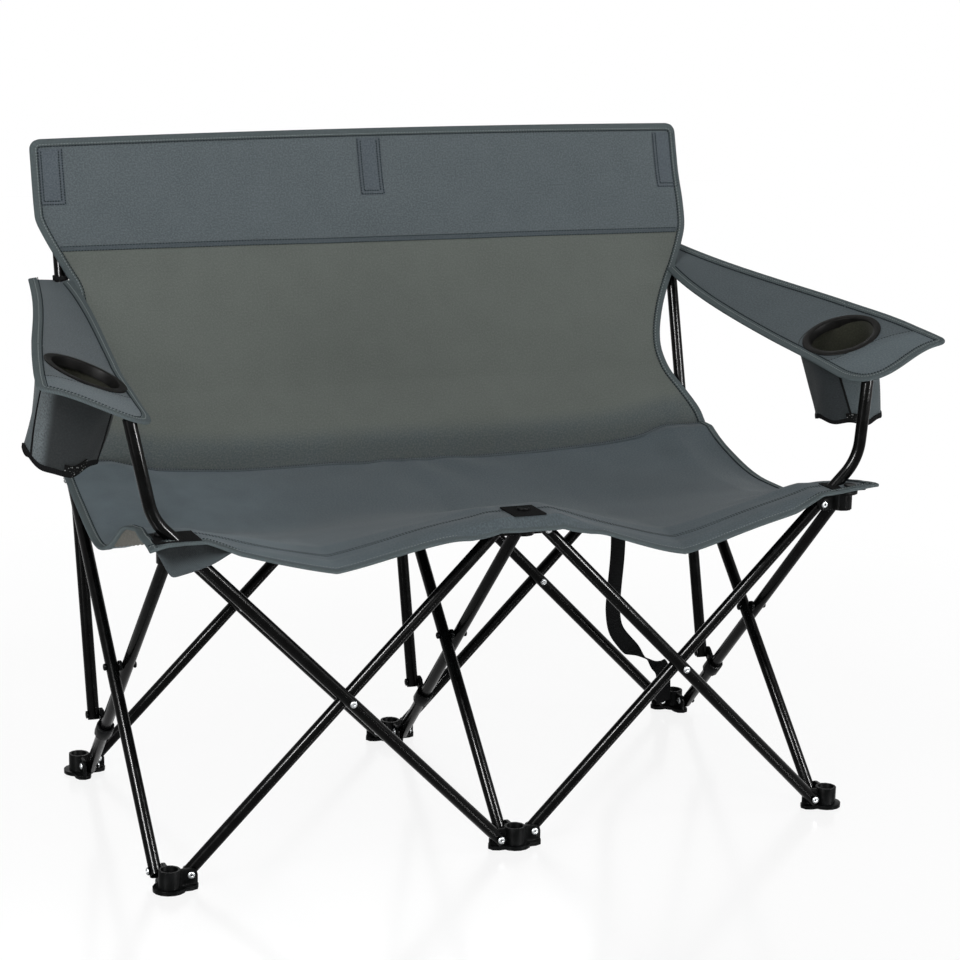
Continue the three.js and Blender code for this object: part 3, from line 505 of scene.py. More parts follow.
RING_ABS = Moulded(
    "black_brown_abs", colour="#121211", worn="#1A1918", roughness=0.5, relief=0.06, shine=0.02
)
ZINC = Moulded(
    "zinc_plated_steel", colour="#6E7071", worn="#828485",
    roughness=0.46, grit=1.1, relief=0.05, shine=0.5, metallic=1.0,
)
NET = Net("black_knitted_net")


class Workshop:
    """Materials made once, and the steps that finish every piece."""

    def __init__(self) -> None:
        """Starts with no materials made."""
        self.made: dict[str, Material] = {}

    def material(self, finish: Finish) -> Material:
        """A finish as a material, made the first time that it is asked for."""
        if finish.name not in self.made:
            self.made[finish.name] = finish.material()
        return self.made[finish.name]

    def dress(self, piece: Thing, *finishes: Finish) -> None:
        """Gives a piece its finishes, one to each of its material slots."""
        if piece.data.materials:
            piece.data.materials.clear()
        for finish in finishes:
            piece.data.materials.append(self.material(finish))

    def trimmed(self, name: str, trim: "Draft", thread: "Draft", *finishes: Finish) -> tuple[Thing, Thing]:
        """Builds a cloth's trim and stitches, and gives them their finishes.

        Args:
            name: The cloth's name.
            trim: The gathered binding, tapes and layers.
            thread: The gathered stitches.
            finishes: The trim's finishes.

        Returns:
            The trim and the stitches.
        """
        bound, sewn = trim.build(f"{name}_binding"), thread.build(f"{name}_stitches")
        self.dress(bound, *finishes)
        self.dress(sewn, THREAD, PALE_THREAD)
        return bound, sewn

    def hang(self, piece: Thing, body: str, slot: str, replaces: Sequence[str] = ()) -> Thing:
        """Sets a piece on a body of the frame.

        Args:
            piece: The finished piece.
            body: The body that it moves with.
            slot: Not used.
            replaces: The frame's nodes that it stands for.

        Returns:
            The piece.
        """
        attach(piece, body)
        self.name_it(piece, slot, replaces)
        LOG.info("%s rides on %s", piece.name, body)
        return piece

    def name_it(self, piece: Thing, slot: str, replaces: Sequence[str] = ()) -> None:
        """Hides the frame's nodes that a piece stands for."""
        if replaces:
            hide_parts(*replaces)


def leave() -> None:
    """Goes back to object mode."""
    bpy.ops.object.mode_set(mode="OBJECT")


def clear_selection() -> None:
    """Leaves nothing selected, in object mode."""
    if bpy.context.object and bpy.context.object.mode != "OBJECT":
        leave()
    bpy.ops.object.select_all(action="DESELECT")


def take(piece: Thing) -> None:
    """Makes a piece the only one that operators act on."""
    clear_selection()
    piece.select_set(True)
    bpy.context.view_layer.objects.active = piece


def edit(piece: Thing, mode: str = "VERT", whole: bool = False) -> None:
    """Opens a piece in edit mode.

    Args:
        piece: The piece to open.
        mode: What can be selected: VERT, EDGE or FACE.
        whole: Whether all of it is selected, and not nothing.
    """
    take(piece)
    bpy.ops.object.mode_set(mode="EDIT")
    bpy.ops.mesh.select_mode(type=mode)
    bpy.ops.mesh.select_all(action="SELECT" if whole else "DESELECT")


def extrude(step: Sequence[float]) -> None:
    """Extrudes what is selected by a step in metres."""
    bpy.ops.mesh.extrude_region_move(TRANSFORM_OT_translate={"value": step})


def pick(piece: Thing, chosen: Callable[[Vector], bool], faces: bool = False) -> None:
    """Selects vertices or faces of the open piece by their place.

    Args:
        piece: The piece in edit mode.
        chosen: Says of a place whether it is chosen.
        faces: Whether faces are chosen by their middles, in place of vertices.
    """
    leave()
    for polygon in piece.data.polygons:
        polygon.select = faces and chosen(polygon.center)
    for edge in piece.data.edges:
        edge.select = False
    for vertex in piece.data.vertices:
        vertex.select = not faces and chosen(vertex.co)
    bpy.ops.object.mode_set(mode="EDIT")


def cylinder(radius: float, depth: float, sides: int) -> Thing:
    """A cylinder on the z axis, about the origin, by its sizes in millimetres."""
    clear_selection()
    bpy.ops.mesh.primitive_cylinder_add(vertices=sides, radius=radius * MM, depth=depth * MM)
    return bpy.context.object


def modified(piece: Thing, kind: str, **settings: object) -> None:
    """Adds a modifier to a piece and applies it.

    Args:
        piece: The piece.
        kind: The modifier's type.
        settings: The modifier's own options.
    """
    take(piece)
    modifier = piece.modifiers.new(kind.title(), kind)
    for key, value in settings.items():
        setattr(modifier, key, value)
    bpy.ops.object.modifier_apply(modifier=modifier.name)


def rounded(piece: Thing, degrees: float = 35.0) -> None:
    """Shades a piece smooth, save across its sharp edges."""
    take(piece)
    bpy.ops.object.shade_smooth_by_angle(angle=math.radians(degrees))
    clear_selection()


def shown(name: str, data: bpy.types.ID) -> Thing:
    """A new object of the scene that shows a mesh, a lamp or a camera."""
    made = bpy.data.objects.new(name, data)
    bpy.context.scene.collection.objects.link(made)
    return made


def placed_copy(piece: Thing, name: str, matrix: Matrix) -> Thing:
    """A copy of a modelled piece at another place, with its own mesh.

    Args:
        piece: The piece that was modelled.
        name: The copy's name.
        matrix: Where it goes, in metres.

    Returns:
        The copy, at the origin, with its place in its mesh.
    """
    mesh = piece.data.copy()
    mesh.name = name
    mesh.transform(matrix)
    if matrix.determinant() < 0:
        mesh.flip_normals()
    return shown(name, mesh)


def joined(name: str, pieces: Sequence[Thing]) -> Thing:
    """Several pieces made one.

    Args:
        name: The new piece's name.
        pieces: The pieces that go into it.

    Returns:
        The one piece.
    """
    clear_selection()
    for piece in pieces:
        piece.select_set(True)
    bpy.context.view_layer.objects.active = pieces[0]
    if len(pieces) > 1:
        bpy.ops.object.join()
    made = bpy.context.view_layer.objects.active
    made.name = name
    made.data.name = name
    clear_selection()
    return made


def turned(direction: Sequence[float], at: Sequence[float]) -> Matrix:
    """The matrix of a place, in metres, whose own z axis points a given way."""
    turn = Vector(direction).to_track_quat("Z", "Y").to_matrix().to_4x4()
    return Matrix.Translation(Vector(at)) @ turn


@dataclass
class Draft:
    """Points and faces of one piece of cloth or trim, gathered before they become a mesh."""

    points: list[Array] = field(default_factory=list)
    faces: list[list[int]] = field(default_factory=list)
    cuts: list[list[Pair]] = field(default_factory=list)
    slots: list[int] = field(default_factory=list)
    count: int = 0

    def add(self, points: Array, faces: list[list[int]], cut: Array, slot: int = 0) -> None:
        """Adds one closed form.

        Args:
            points: Its points, in metres.
            faces: Its faces, by point.
            cut: Where each point lies on the flat cloth, in metres.
            slot: The material slot of its faces.
        """
        self.points.append(points)
        for face in faces:
            self.faces.append([self.count + k for k in face])
            self.cuts.append([tuple(cut[k]) for k in face])
            self.slots.append(slot)
        self.count += len(points)

    def sweep(self, path: Array, side: Array, up: Array, section: Sequence[Pair], slot: int = 0) -> None:
        """Draws a section along a line and closes its ends.

        Args:
            path: The line, in metres.
            side: At each point, the direction of the section's first axis.
            up: At each point, the direction of its second axis.
            section: The section's corners, in millimetres, in order.
            slot: The material slot of its faces.
        """
        n, m = len(path), len(section)
        corners = np.asarray(section, float) * MM
        ring = path[:, None] + side[:, None] * corners[None, :, :1] + up[:, None] * corners[None, :, 1:]
        along, round_it = reached(path)[:, None], reached(corners)[None]
        cut = np.stack(np.broadcast_arrays(along, round_it), -1).reshape(-1, 2)
        faces = [
            [i * m + j, i * m + (j + 1) % m, (i + 1) * m + (j + 1) % m, (i + 1) * m + j]
            for i in range(n - 1)
            for j in range(m)
        ]
        faces += [list(range(m))[::-1], [(n - 1) * m + j for j in range(m)]]
        self.add(ring.reshape(-1, 3), faces, cut, slot)

    def slab(self, grid: Array, normal: Array, low: float, high: float, slot: int = 0) -> None:
        """Thickens a grid of points to a closed slab.

        Args:
            grid: The points, by row and column, in metres.
            normal: The surface's normals at them.
            low: The lower face above the grid, in millimetres.
            high: The upper face above the grid, in millimetres.
            slot: The material slot of its faces.
        """
        n, m = grid.shape[:2]
        total = n * m
        points = np.concatenate([(grid + normal * lift * MM).reshape(-1, 3) for lift in (low, high)])
        rows = np.linalg.norm(np.diff(grid, axis=0), axis=2).mean(1)
        columns = np.linalg.norm(np.diff(grid, axis=1), axis=2).mean(0)
        across = np.concatenate([[0], np.cumsum(rows)])
        along = np.concatenate([[0], np.cumsum(columns)])
        flat = np.stack(np.broadcast_arrays(across[:, None], along[None]), -1).reshape(-1, 2)
        faces = []
        for i in range(n - 1):
            for j in range(m - 1):
                a = i * m + j
                faces.append([a, a + 1, a + m + 1, a + m])
                faces.append([total + a, total + a + m, total + a + m + 1, total + a + 1])
        rim = [i * m for i in range(n)]
        rim += [(n - 1) * m + j for j in range(1, m)]
        rim += [i * m + m - 1 for i in range(n - 2, -1, -1)]
        rim += list(range(m - 2, 0, -1))
        for a, b in zip(rim, rim[1:] + rim[:1]):
            faces.append([a, b, total + b, total + a])
        self.add(points, faces, np.concatenate([flat, flat]), slot)

    def stitches(self, path: Array, side: Array, up: Array, seam: "Seam", slot: int = 0) -> None:
        """Lays a row of stitches along a line.

        Args:
            path: The line, close in step, in metres.
            side: At each point, the direction across the row.
            up: At each point, the direction off the cloth.
            seam: The stitches' sizes.
            slot: The material slot of its faces.
        """
        length = reached(path)
        at = np.arange(seam.pitch / 2, length[-1] / MM - seam.pitch / 2, seam.pitch) * MM
        half = seam.length / 2 * MM
        steps = (-half, -half * seam.crest, half * seam.crest, half)
        ends = [values_at(at + step, length, path) for step in steps]
        over = unit(values_at(at, length, side)) * seam.width / 2 * MM
        rise = unit(values_at(at, length, up)) * MM
        low, high = rise * seam.low, rise * seam.high
        box = [
            ends[0] - over + low, ends[0] + over + low, ends[3] + over + low, ends[3] - over + low,
            ends[1] - over + high, ends[1] + over + high, ends[2] + over + high, ends[2] - over + high,
        ]
        faces = [[0, 1, 2, 3], [4, 7, 6, 5], [0, 4, 5, 1], [1, 5, 6, 2], [2, 6, 7, 3], [3, 7, 4, 0]]
        flat = np.array([(0, 0), (0, 1), (3, 1), (3, 0), (1, 0), (1, 1), (2, 1), (2, 0)], float) * MM
        for k in range(len(at)):
            self.add(np.array([corner[k] for corner in box]), faces, flat, slot)

    def build(self, name: str) -> Thing:
        """The gathered forms as one mesh.

        Args:
            name: The piece's name.

        Returns:
            The piece, at the origin.
        """
        mesh = bpy.data.meshes.new(name)
        mesh.from_pydata(np.concatenate(self.points).tolist(), [], self.faces)
        layer = mesh.uv_layers.new(name="Cut")
        layer.data.foreach_set("uv", np.array([c for cut in self.cuts for c in cut], np.float32).ravel())
        mesh.polygons.foreach_set("material_index", np.array(self.slots, np.int32))
        mesh.update()
        made = shown(name, mesh)
        edit(made, whole=True)
        bpy.ops.mesh.normals_make_consistent(inside=False)
        leave()
        rounded(made, 40.0)
        return made


@dataclass(frozen=True)
class Seam:
    """A row of stitches."""

    pitch: float = 3.8
    length: float = 3.2
    width: float = 0.9
    low: float = 0.6
    high: float = 1.9
    crest: float = 0.55


FOLD_SEAM = Seam(low=1.0, high=2.5)
HEM_SEAM = Seam(pitch=4.2, length=3.8, low=0.8, high=1.7)
BAND_SEAM = Seam(pitch=4.2, length=3.9, width=1.2, low=1.0, high=2.5)
PATCH_SEAM = Seam(pitch=3.6, length=3.4, width=1.3, low=1.2, high=2.4)
TIP_SEAM = Seam(pitch=4.2, length=3.8, low=0.9, high=2.2)


@dataclass(frozen=True)
class Panel:
    """A piece of cloth as a surface of two shares, each from 0 to 1."""

    at: Surface
    facing: Point

    def grid(self, us: Array, vs: Array) -> tuple[Array, Array]:
        """The surface's points, in metres, and its normals, on a grid of both shares."""
        u, v = np.meshgrid(us, vs, indexing="ij")
        return self.at(u, v), self.normal(u, v)

    def cut_out(self, name: str, us: Array, vs: Array, thick: float) -> tuple[Thing, Array]:
        """Cuts the surface out of cloth.

        Args:
            name: The piece's name.
            us: Places along the first share.
            vs: Places along the second share.
            thick: The cloth's thickness, in millimetres.

        Returns:
            The piece, and the grid of its middle.
        """
        grid, normal = self.grid(us, vs)
        draft = Draft()
        draft.slab(grid, normal, -thick / 2, thick / 2)
        return draft.build(name), grid

    def normal(self, u: Array, v: Array) -> Array:
        """The surface's normals, on the side that it faces.

        Args:
            u: Places along the first share.
            v: Places along the second share.

        Returns:
            The normals.
        """
        e = 2e-3
        across = self.at(u + e, v) - self.at(u - e, v)
        along = self.at(u, v + e) - self.at(u, v - e)
        found = unit(np.cross(across, along))
        way = np.sign(np.sum(found * np.asarray(self.facing), -1, keepdims=True))
        return found * np.where(way == 0, 1, way)

    def line(self, uv: Array, inward: Array | None = None, step: float = 4.0) -> Line:
        """A line on the surface, with directions across it and off it.

        Args:
            uv: The line's points as shares, close enough to follow the surface.
            inward: One pair of shares that the direction across points towards.
            step: Millimetres between the points that are returned.

        Returns:
            The points in metres, the directions across the line, and the normals.
        """
        raw = self.at(uv[:, 0], uv[:, 1])
        tiny = 1e-9  # the shares ride along and add no length
        both = evenly(np.concatenate([raw, uv * tiny], axis=1), step * MM)
        path, shares = both[:, :3], both[:, 3:] / tiny
        up = self.normal(shares[:, 0], shares[:, 1])
        tangent = unit(np.gradient(path, axis=0))
        side = unit(np.cross(up, tangent))
        if inward is not None:
            mid = len(path) // 2
            toward = self.at(inward[0:1], inward[1:2])[0] - path[mid]
            if np.dot(toward, side[mid]) < 0:
                side = -side
        across = np.cross(tangent, side)
        return path, side, unit(across * np.sign(np.sum(across * up, -1, keepdims=True)))


TAPE = (
    (-1.4, -0.9), (-1.4, 0.9), (-0.7, 1.9), (0.6, 2.3), (8.4, 2.2),
    (8.8, 1.0), (8.8, -1.0), (8.4, -2.2), (0.6, -2.3), (-0.7, -1.9),
)


@dataclass(frozen=True)
class Binding:
    """Tape folded over a raw edge, with a pale row of stitches on it and a dark row beside it."""

    section: tuple[Pair, ...] = TAPE
    pale: float = 6.6
    dark: float = 9.6
    seam: Seam = Seam(pitch=4.2, length=3.8, width=1.0, low=0.8, high=2.7)

    def sew(self, line: Line, trim: Draft, thread: Draft) -> None:
        """Binds one edge.

        Args:
            line: The edge, the directions in from it, and the normals.
            trim: Takes the tape.
            thread: Takes the stitches: the dark ones in its first slot, the pale ones in its second.
        """
        path, side, up = line
        trim.sweep(path, side, up, self.section)
        for inset, slot in ((self.dark, 0), (self.pale, 1)):
            thread.stitches(path + side * inset * MM, side, up, self.seam, slot)


WIDE_BINDING = Binding(tuple((a * 1.2 if a > 5 else a, b) for a, b in TAPE), pale=6.0, dark=11.5)


@dataclass(frozen=True)
class Layout:
    """The grid that every piece is set out from, in millimetres."""

    shift_y: float
    pitch: float = 460.0
    row: float = 230.0
    pin: float = 27.0
    foot_pin_z: float = 17.0
    hub_pin_z: float = 423.0
    past_pin: float = 7.0
    layer: float = 10.5
    tube_r: float = 8.0
    flange_top: float = 441.0
    hub_reach: float = 42.0
    slide_z: float = 431.0
    slope: float = 0.26945
    cloth: float = 2.4
    seat_z: float = 442.5
    seat_side: float = 28.0
    seat_front: float = 26.0
    seat_rear: float = 20.0
    crease_ahead: float = 22.0
    crease_gap: float = 4.0
    crease_ease: float = 60.0

    def world(self, points: Array | Sequence[float]) -> Array:
        """Points of the layout as metres in the frame's axes."""
        return (np.asarray(points, float) + np.array([0.0, self.shift_y, 0.0])) * MM

    def upright_y(self, z: Array | float) -> Array | float:
        """How far back an upright's axis is at a height."""
        return self.row + (z - self.slide_z) * self.slope

    def nearest(self, x: Array, places: Sequence[float]) -> Array:
        """The distance to the nearest of some places."""
        return np.min([np.abs(x - p) for p in places], axis=0)

    def tent(self, x: Array) -> Array:
        """A rise from 0 to 1 with a rounded top."""
        return 1.15 * share(x) - 0.15 * share(x) ** 8

    def crease_y(self, x: Array) -> Array:
        """How far back the seat's rear edge lies."""
        inside = smooth((self.pitch - np.abs(x) - self.hub_reach) / self.crease_ease)
        return self.row - self.seat_rear - self.crease_ahead * inside


@dataclass(frozen=True)
class SeatShape:
    """The seat's sag, hung from six hubs."""

    layout: Layout
    front: float = 51.0
    front_left: float = 39.0
    side: float = 55.0
    tilt: float = 7.0
    pull: float = 14.0
    middle: float = 50.0
    rear: float = 24.0
    hem_drop: float = 8.0
    hem_ease: float = 40.0
    skews: Pair = (25.0, 12.0)
    hump_y: float = -137.0
    hump_deep: float = 53.0
    hump_wide: float = 68.0
    fold: float = 1.7
    fold_far: float = 105.0
    fold_wide: float = 48.0
    valley: float = 3.2
    valley_wide: float = 16.0
    valley_from: Pair = (-40.0, 170.0)
    ripple: float = 0.7

    def height(self, x: Array, y: Array) -> Array:
        """The cloth's height.

        Args:
            x: Places across.
            y: Places from front to rear.

        Returns:
            The height of the cloth's middle at each place.
        """
        lay = self.layout
        reach = lay.hub_reach
        half = lay.pitch / 2 - reach
        columns = (-lay.pitch, 0.0, lay.pitch)
        rows = (-lay.row, lay.row)
        skew = np.where(x < 0, *self.skews) * np.sin(math.pi * share(np.abs(x) / lay.pitch)) ** 2
        across = lay.tent((lay.nearest(x + skew, columns) - reach) / half)
        along = share((lay.nearest(y, rows) - reach) / half) * (np.abs(y) < lay.pitch / 2)
        round_off = 1 - (1 - along) ** 2.3
        along = lay.tent(along)
        along = along + (round_off - along) * share(x / lay.pitch)
        whole = 1 - (1 - share((lay.pitch - np.abs(x) - reach) / (lay.pitch - reach))) ** 4
        back = share((y + lay.row) / lay.pitch)
        out = share(np.abs(x) / lay.pitch)
        front = np.where(x < 0, self.front_left, self.front)
        edge = across * front * (1 - back) ** 1.5 + whole * self.rear * back**2.2
        side = self.side - self.tilt * np.clip(x / lay.pitch, -1, 1)
        inner = along * (side * out**1.5 + self.middle * (1 - out) ** 1.5)
        past = share((-lay.row - y) / lay.seat_front)
        hem = self.hem_drop * past**2 * share((lay.nearest(x, columns) - reach) / self.hem_ease)
        hump = np.exp(-(((y - self.hump_y) / self.hump_deep) ** 2))
        pulled = self.pull * hump * share(1 - (x + lay.pitch + lay.seat_side) / self.hump_wide)
        return lay.seat_z - edge - inner - hem + pulled

    def folds(self, x: Array, y: Array) -> Array:
        """Pulled folds that fan out from the hubs, and the valley in the middle of each bay.

        Args:
            x: Places across.
            y: Places from front to rear.

        Returns:
            The height that the folds add.
        """
        lay = self.layout
        total = np.zeros_like(x)
        for cx in (-lay.pitch, 0.0, lay.pitch):
            for cy in (-lay.row, lay.row):
                dx, dy = x - cx, y - cy
                near = np.exp(-(((np.hypot(dx, dy) - self.fold_far) / self.fold_wide) ** 2))
                total += self.fold * np.sin(9 * np.arctan2(dy, dx) + cx * 0.013 + cy * 0.007) * near
        for way, skew in zip((-1, 1), self.skews):
            aside = np.abs(x - way * lay.pitch / 2 + skew)
            ahead = share((self.valley_from[0] - y) / self.valley_from[1])
            total -= self.valley * np.exp(-aside / self.valley_wide) * ahead
        return total + self.ripple * np.sin(x * 0.031 + y * 0.017) * np.sin(y * 0.043 - x * 0.011)


@dataclass
class Studio:
    """Camera, lamps, floor and backdrop."""

    layout: Layout
    lens: float = 95.27
    place: Point = (-1250.9, -3066.7, 1187.6)
    turn: float = -22.78
    rise: float = 12.80
    roll: float = 1.27
    glow: float = 0.36
    shade_r: float = 0.85
    mirror: float = 0.05

    def set_camera(self) -> None:
        """Sets the camera where the photograph was taken from."""
        a, e, r = (math.radians(x) for x in (self.turn, self.rise, self.roll))
        back = Vector((math.sin(a) * math.cos(e), -math.cos(a) * math.cos(e), math.sin(e)))
        right = Vector((math.cos(a), math.sin(a), 0.0))
        up = back.cross(right)
        level = right * math.cos(r) + up * math.sin(r)
        upward = up * math.cos(r) - right * math.sin(r)
        data = bpy.data.cameras.new("camera")
        data.lens = self.lens
        data.sensor_width = 36.0
        data.sensor_fit = "HORIZONTAL"
        data.clip_end = 50.0
        camera = shown("camera", data)
        turn = Matrix((level, upward, back)).transposed().to_4x4()
        camera.matrix_world = Matrix.Translation(Vector(self.layout.world(self.place))) @ turn
        bpy.context.scene.camera = camera

    def lamp(
        self, name: str, at: Sequence[float], to: Sequence[float], size: Pair, power: float,
        glint: bool = False,
    ) -> None:
        """Hangs a soft box.

        Args:
            name: The lamp's name.
            at: Its place, in metres.
            to: The point that it faces, in metres.
            size: Its width and height, in metres.
            power: Its power in watts.
            glint: Whether it is only seen mirrored in a gloss.
        """
        data = bpy.data.lights.new(name, "AREA")
        data.shape = "RECTANGLE"
        data.size, data.size_y = size
        data.energy = power
        lamp = shown(name, data)
        lamp.matrix_world = turned(Vector(at) - Vector(to), at)
        lamp.visible_diffuse = not glint

    def light(self) -> None:
        """Lights the chair softly from above, from the front and from both sides."""
        middle = (0.0, 0.0, 0.45)
        self.lamp("overhead", (-0.2, -0.6, 3.2), middle, (2.6, 2.2), 9.0)
        self.lamp("key_left", (-1.9, -1.2, 2.5), middle, (0.26, 1.7), 13.0)
        self.lamp("low_right", (2.4, -1.3, 1.1), middle, (0.25, 1.7), 14.0)
        self.lamp("low_left", (-2.2, -1.3, 0.42), (-0.4, -0.3, 0.4), (0.3, 0.75), 7.0)
        self.lamp("front_strip", (-0.6, -3.6, 1.9), middle, (2.4, 0.3), 29.0)
        self.lamp("rear_box", (0.4, 2.8, 1.9), middle, (2.4, 0.5), 24.0)
        self.lamp("glint_left", (-2.2, -1.7, 2.3), middle, (0.26, 1.8), 800.0, glint=True)
        self.lamp("glint_right", (1.9, -2.4, 1.7), middle, (0.24, 1.8), 700.0, glint=True)

    def seen(self, tree: Tree) -> Socket:
        """Whether a ray comes from the camera, straight or by a gloss."""
        path = add_node(tree, "LightPath").outputs
        return computed(tree, "MAXIMUM", path["Is Camera Ray"], path["Is Glossy Ray"])

    def background(self) -> None:
        """Sets a white world that lights the chair softly."""
        bpy.context.scene.view_settings.view_transform = "Standard"
        world = bpy.data.worlds.new("backdrop")
        world.use_nodes = True
        tree = world.node_tree
        tree.nodes.clear()
        path = add_node(tree, "LightPath").outputs
        through = computed(tree, "MAXIMUM", self.seen(tree), path["Is Transmission Ray"])
        strength = ranged(tree, through, (0.0, 1.0), (self.glow, 1.0))
        shine = add_node(tree, "Background", {"Color": WHITE, "Strength": strength})
        add_node(tree, "OutputWorld", {"Surface": shine.outputs["Background"]})
        bpy.context.scene.world = world

    def floor(self) -> None:
        """Lays a white floor that keeps the chair's shadow and mirrors it faintly."""
        clear_selection()
        bpy.ops.mesh.primitive_plane_add(size=14.0, location=(0.0, 0.0, 0.0))
        floor = bpy.context.object
        floor.name = "floor"
        material = bpy.data.materials.new("white_floor")
        material.use_nodes = True
        tree = material.node_tree
        tree.nodes.clear()
        paint = add_node(tree, "BsdfDiffuse", {"Color": WHITE}).outputs["BSDF"]
        glow = add_node(tree, "Emission", {"Color": WHITE, "Strength": 1.0}).outputs["Emission"]
        spot = add_node(tree, "TexCoord").outputs["Object"]
        far = add_node(tree, "VectorMath", {0: spot}, operation="LENGTH").outputs["Value"]
        fade = ranged(tree, far, (self.shade_r, 2 * self.shade_r), (0.9, 1.0))
        much = computed(tree, "MULTIPLY", self.seen(tree), fade)
        both = add_node(tree, "MixShader", {0: much, 1: paint, 2: glow}).outputs["Shader"]
        polish = add_node(tree, "BsdfGlossy", {"Color": WHITE, "Roughness": 0.16}).outputs["BSDF"]
        top = add_node(tree, "MixShader", {0: self.mirror, 1: both, 2: polish}).outputs["Shader"]
        add_node(tree, "OutputMaterial", {"Surface": top})
        floor.data.materials.append(material)


@dataclass
class CarryStrap:
    """Webbing strap that hangs from under the seat's rear edge to the rear right foot."""

    layout: Layout
    shop: Workshop
    seat: SeatShape
    width: float = 25.0
    thick: float = 1.8
    inward: float = 108.0
    ahead: float = 24.0
    low: float = 2.0
    head_face: float = 21.3
    stops: tuple[Point, ...] = (
        (0, 0, 0), (0.11, 0, 0.36), (0.075, 0, 0.54), (0.065, 0, 0.613), (0.12, 0, 0.686),
        (0.25, 0, 0.735), (0.49, 0.1, 0.795), (0.72, 0.3, 0.825), (0.9, 0.55, 0.862), (1, 1, 1),
    )
    faces: Point = (-0.14, 0.99, 0.0)
    bow: float = 331.0
    gap: float = 0.3
    turns_flat: Pair = (0.12, 0.58)
    turns_up: Pair = (0.68, 0.94)

    def route(self) -> Array:
        """The strap's middle line, in metres."""
        lay = self.layout
        pin = np.array([lay.pitch - lay.pin, lay.row, lay.foot_pin_z])
        end = pin - np.array([0, self.head_face + self.thick / 2 + self.gap, 0])
        top = np.array([pin[0] - self.inward, lay.row - lay.seat_rear - self.ahead, 0.0])
        top[2] = float(self.seat.height(top[0:1], top[1:2])[0]) - lay.cloth / 2 - self.low
        stops = [top + (end - top) * np.array(step) for step in self.stops]
        return lay.world(rounded_path(np.array(stops), 105))

    def build(self) -> Thing:
        """Weaves the strap along its route."""
        path = self.route()
        tangent = unit(np.gradient(path, axis=0))
        gone = (path[:, 0] / MM - self.bow) / (path[-1, 0] / MM - self.bow)
        down, up = (smooth((gone - a) / (b - a)) for a, b in (self.turns_flat, self.turns_up))
        lying = down * (1 - up)
        facing = np.array(self.faces) * (1 - lying)[:, None] + UP * lying[:, None]
        side = unit(np.cross(tangent, facing))
        up = unit(np.cross(side, tangent))
        half, t = self.width / 2, self.thick / 2
        section = (
            (-half, -t * 0.5), (-half, t * 0.5), (-half + 1, t), (half - 1, t),
            (half, t * 0.5), (half, -t * 0.5), (half - 1, -t), (-half + 1, -t),
        )
        draft = Draft()
        draft.sweep(path, side, up, section)
        strap = draft.build("strap_webbing")
        self.shop.dress(strap, BLACK_TAPE)
        self.shop.hang(strap, "foot_rr", "black_webbing", ["strap"])
        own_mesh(strap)
        return strap


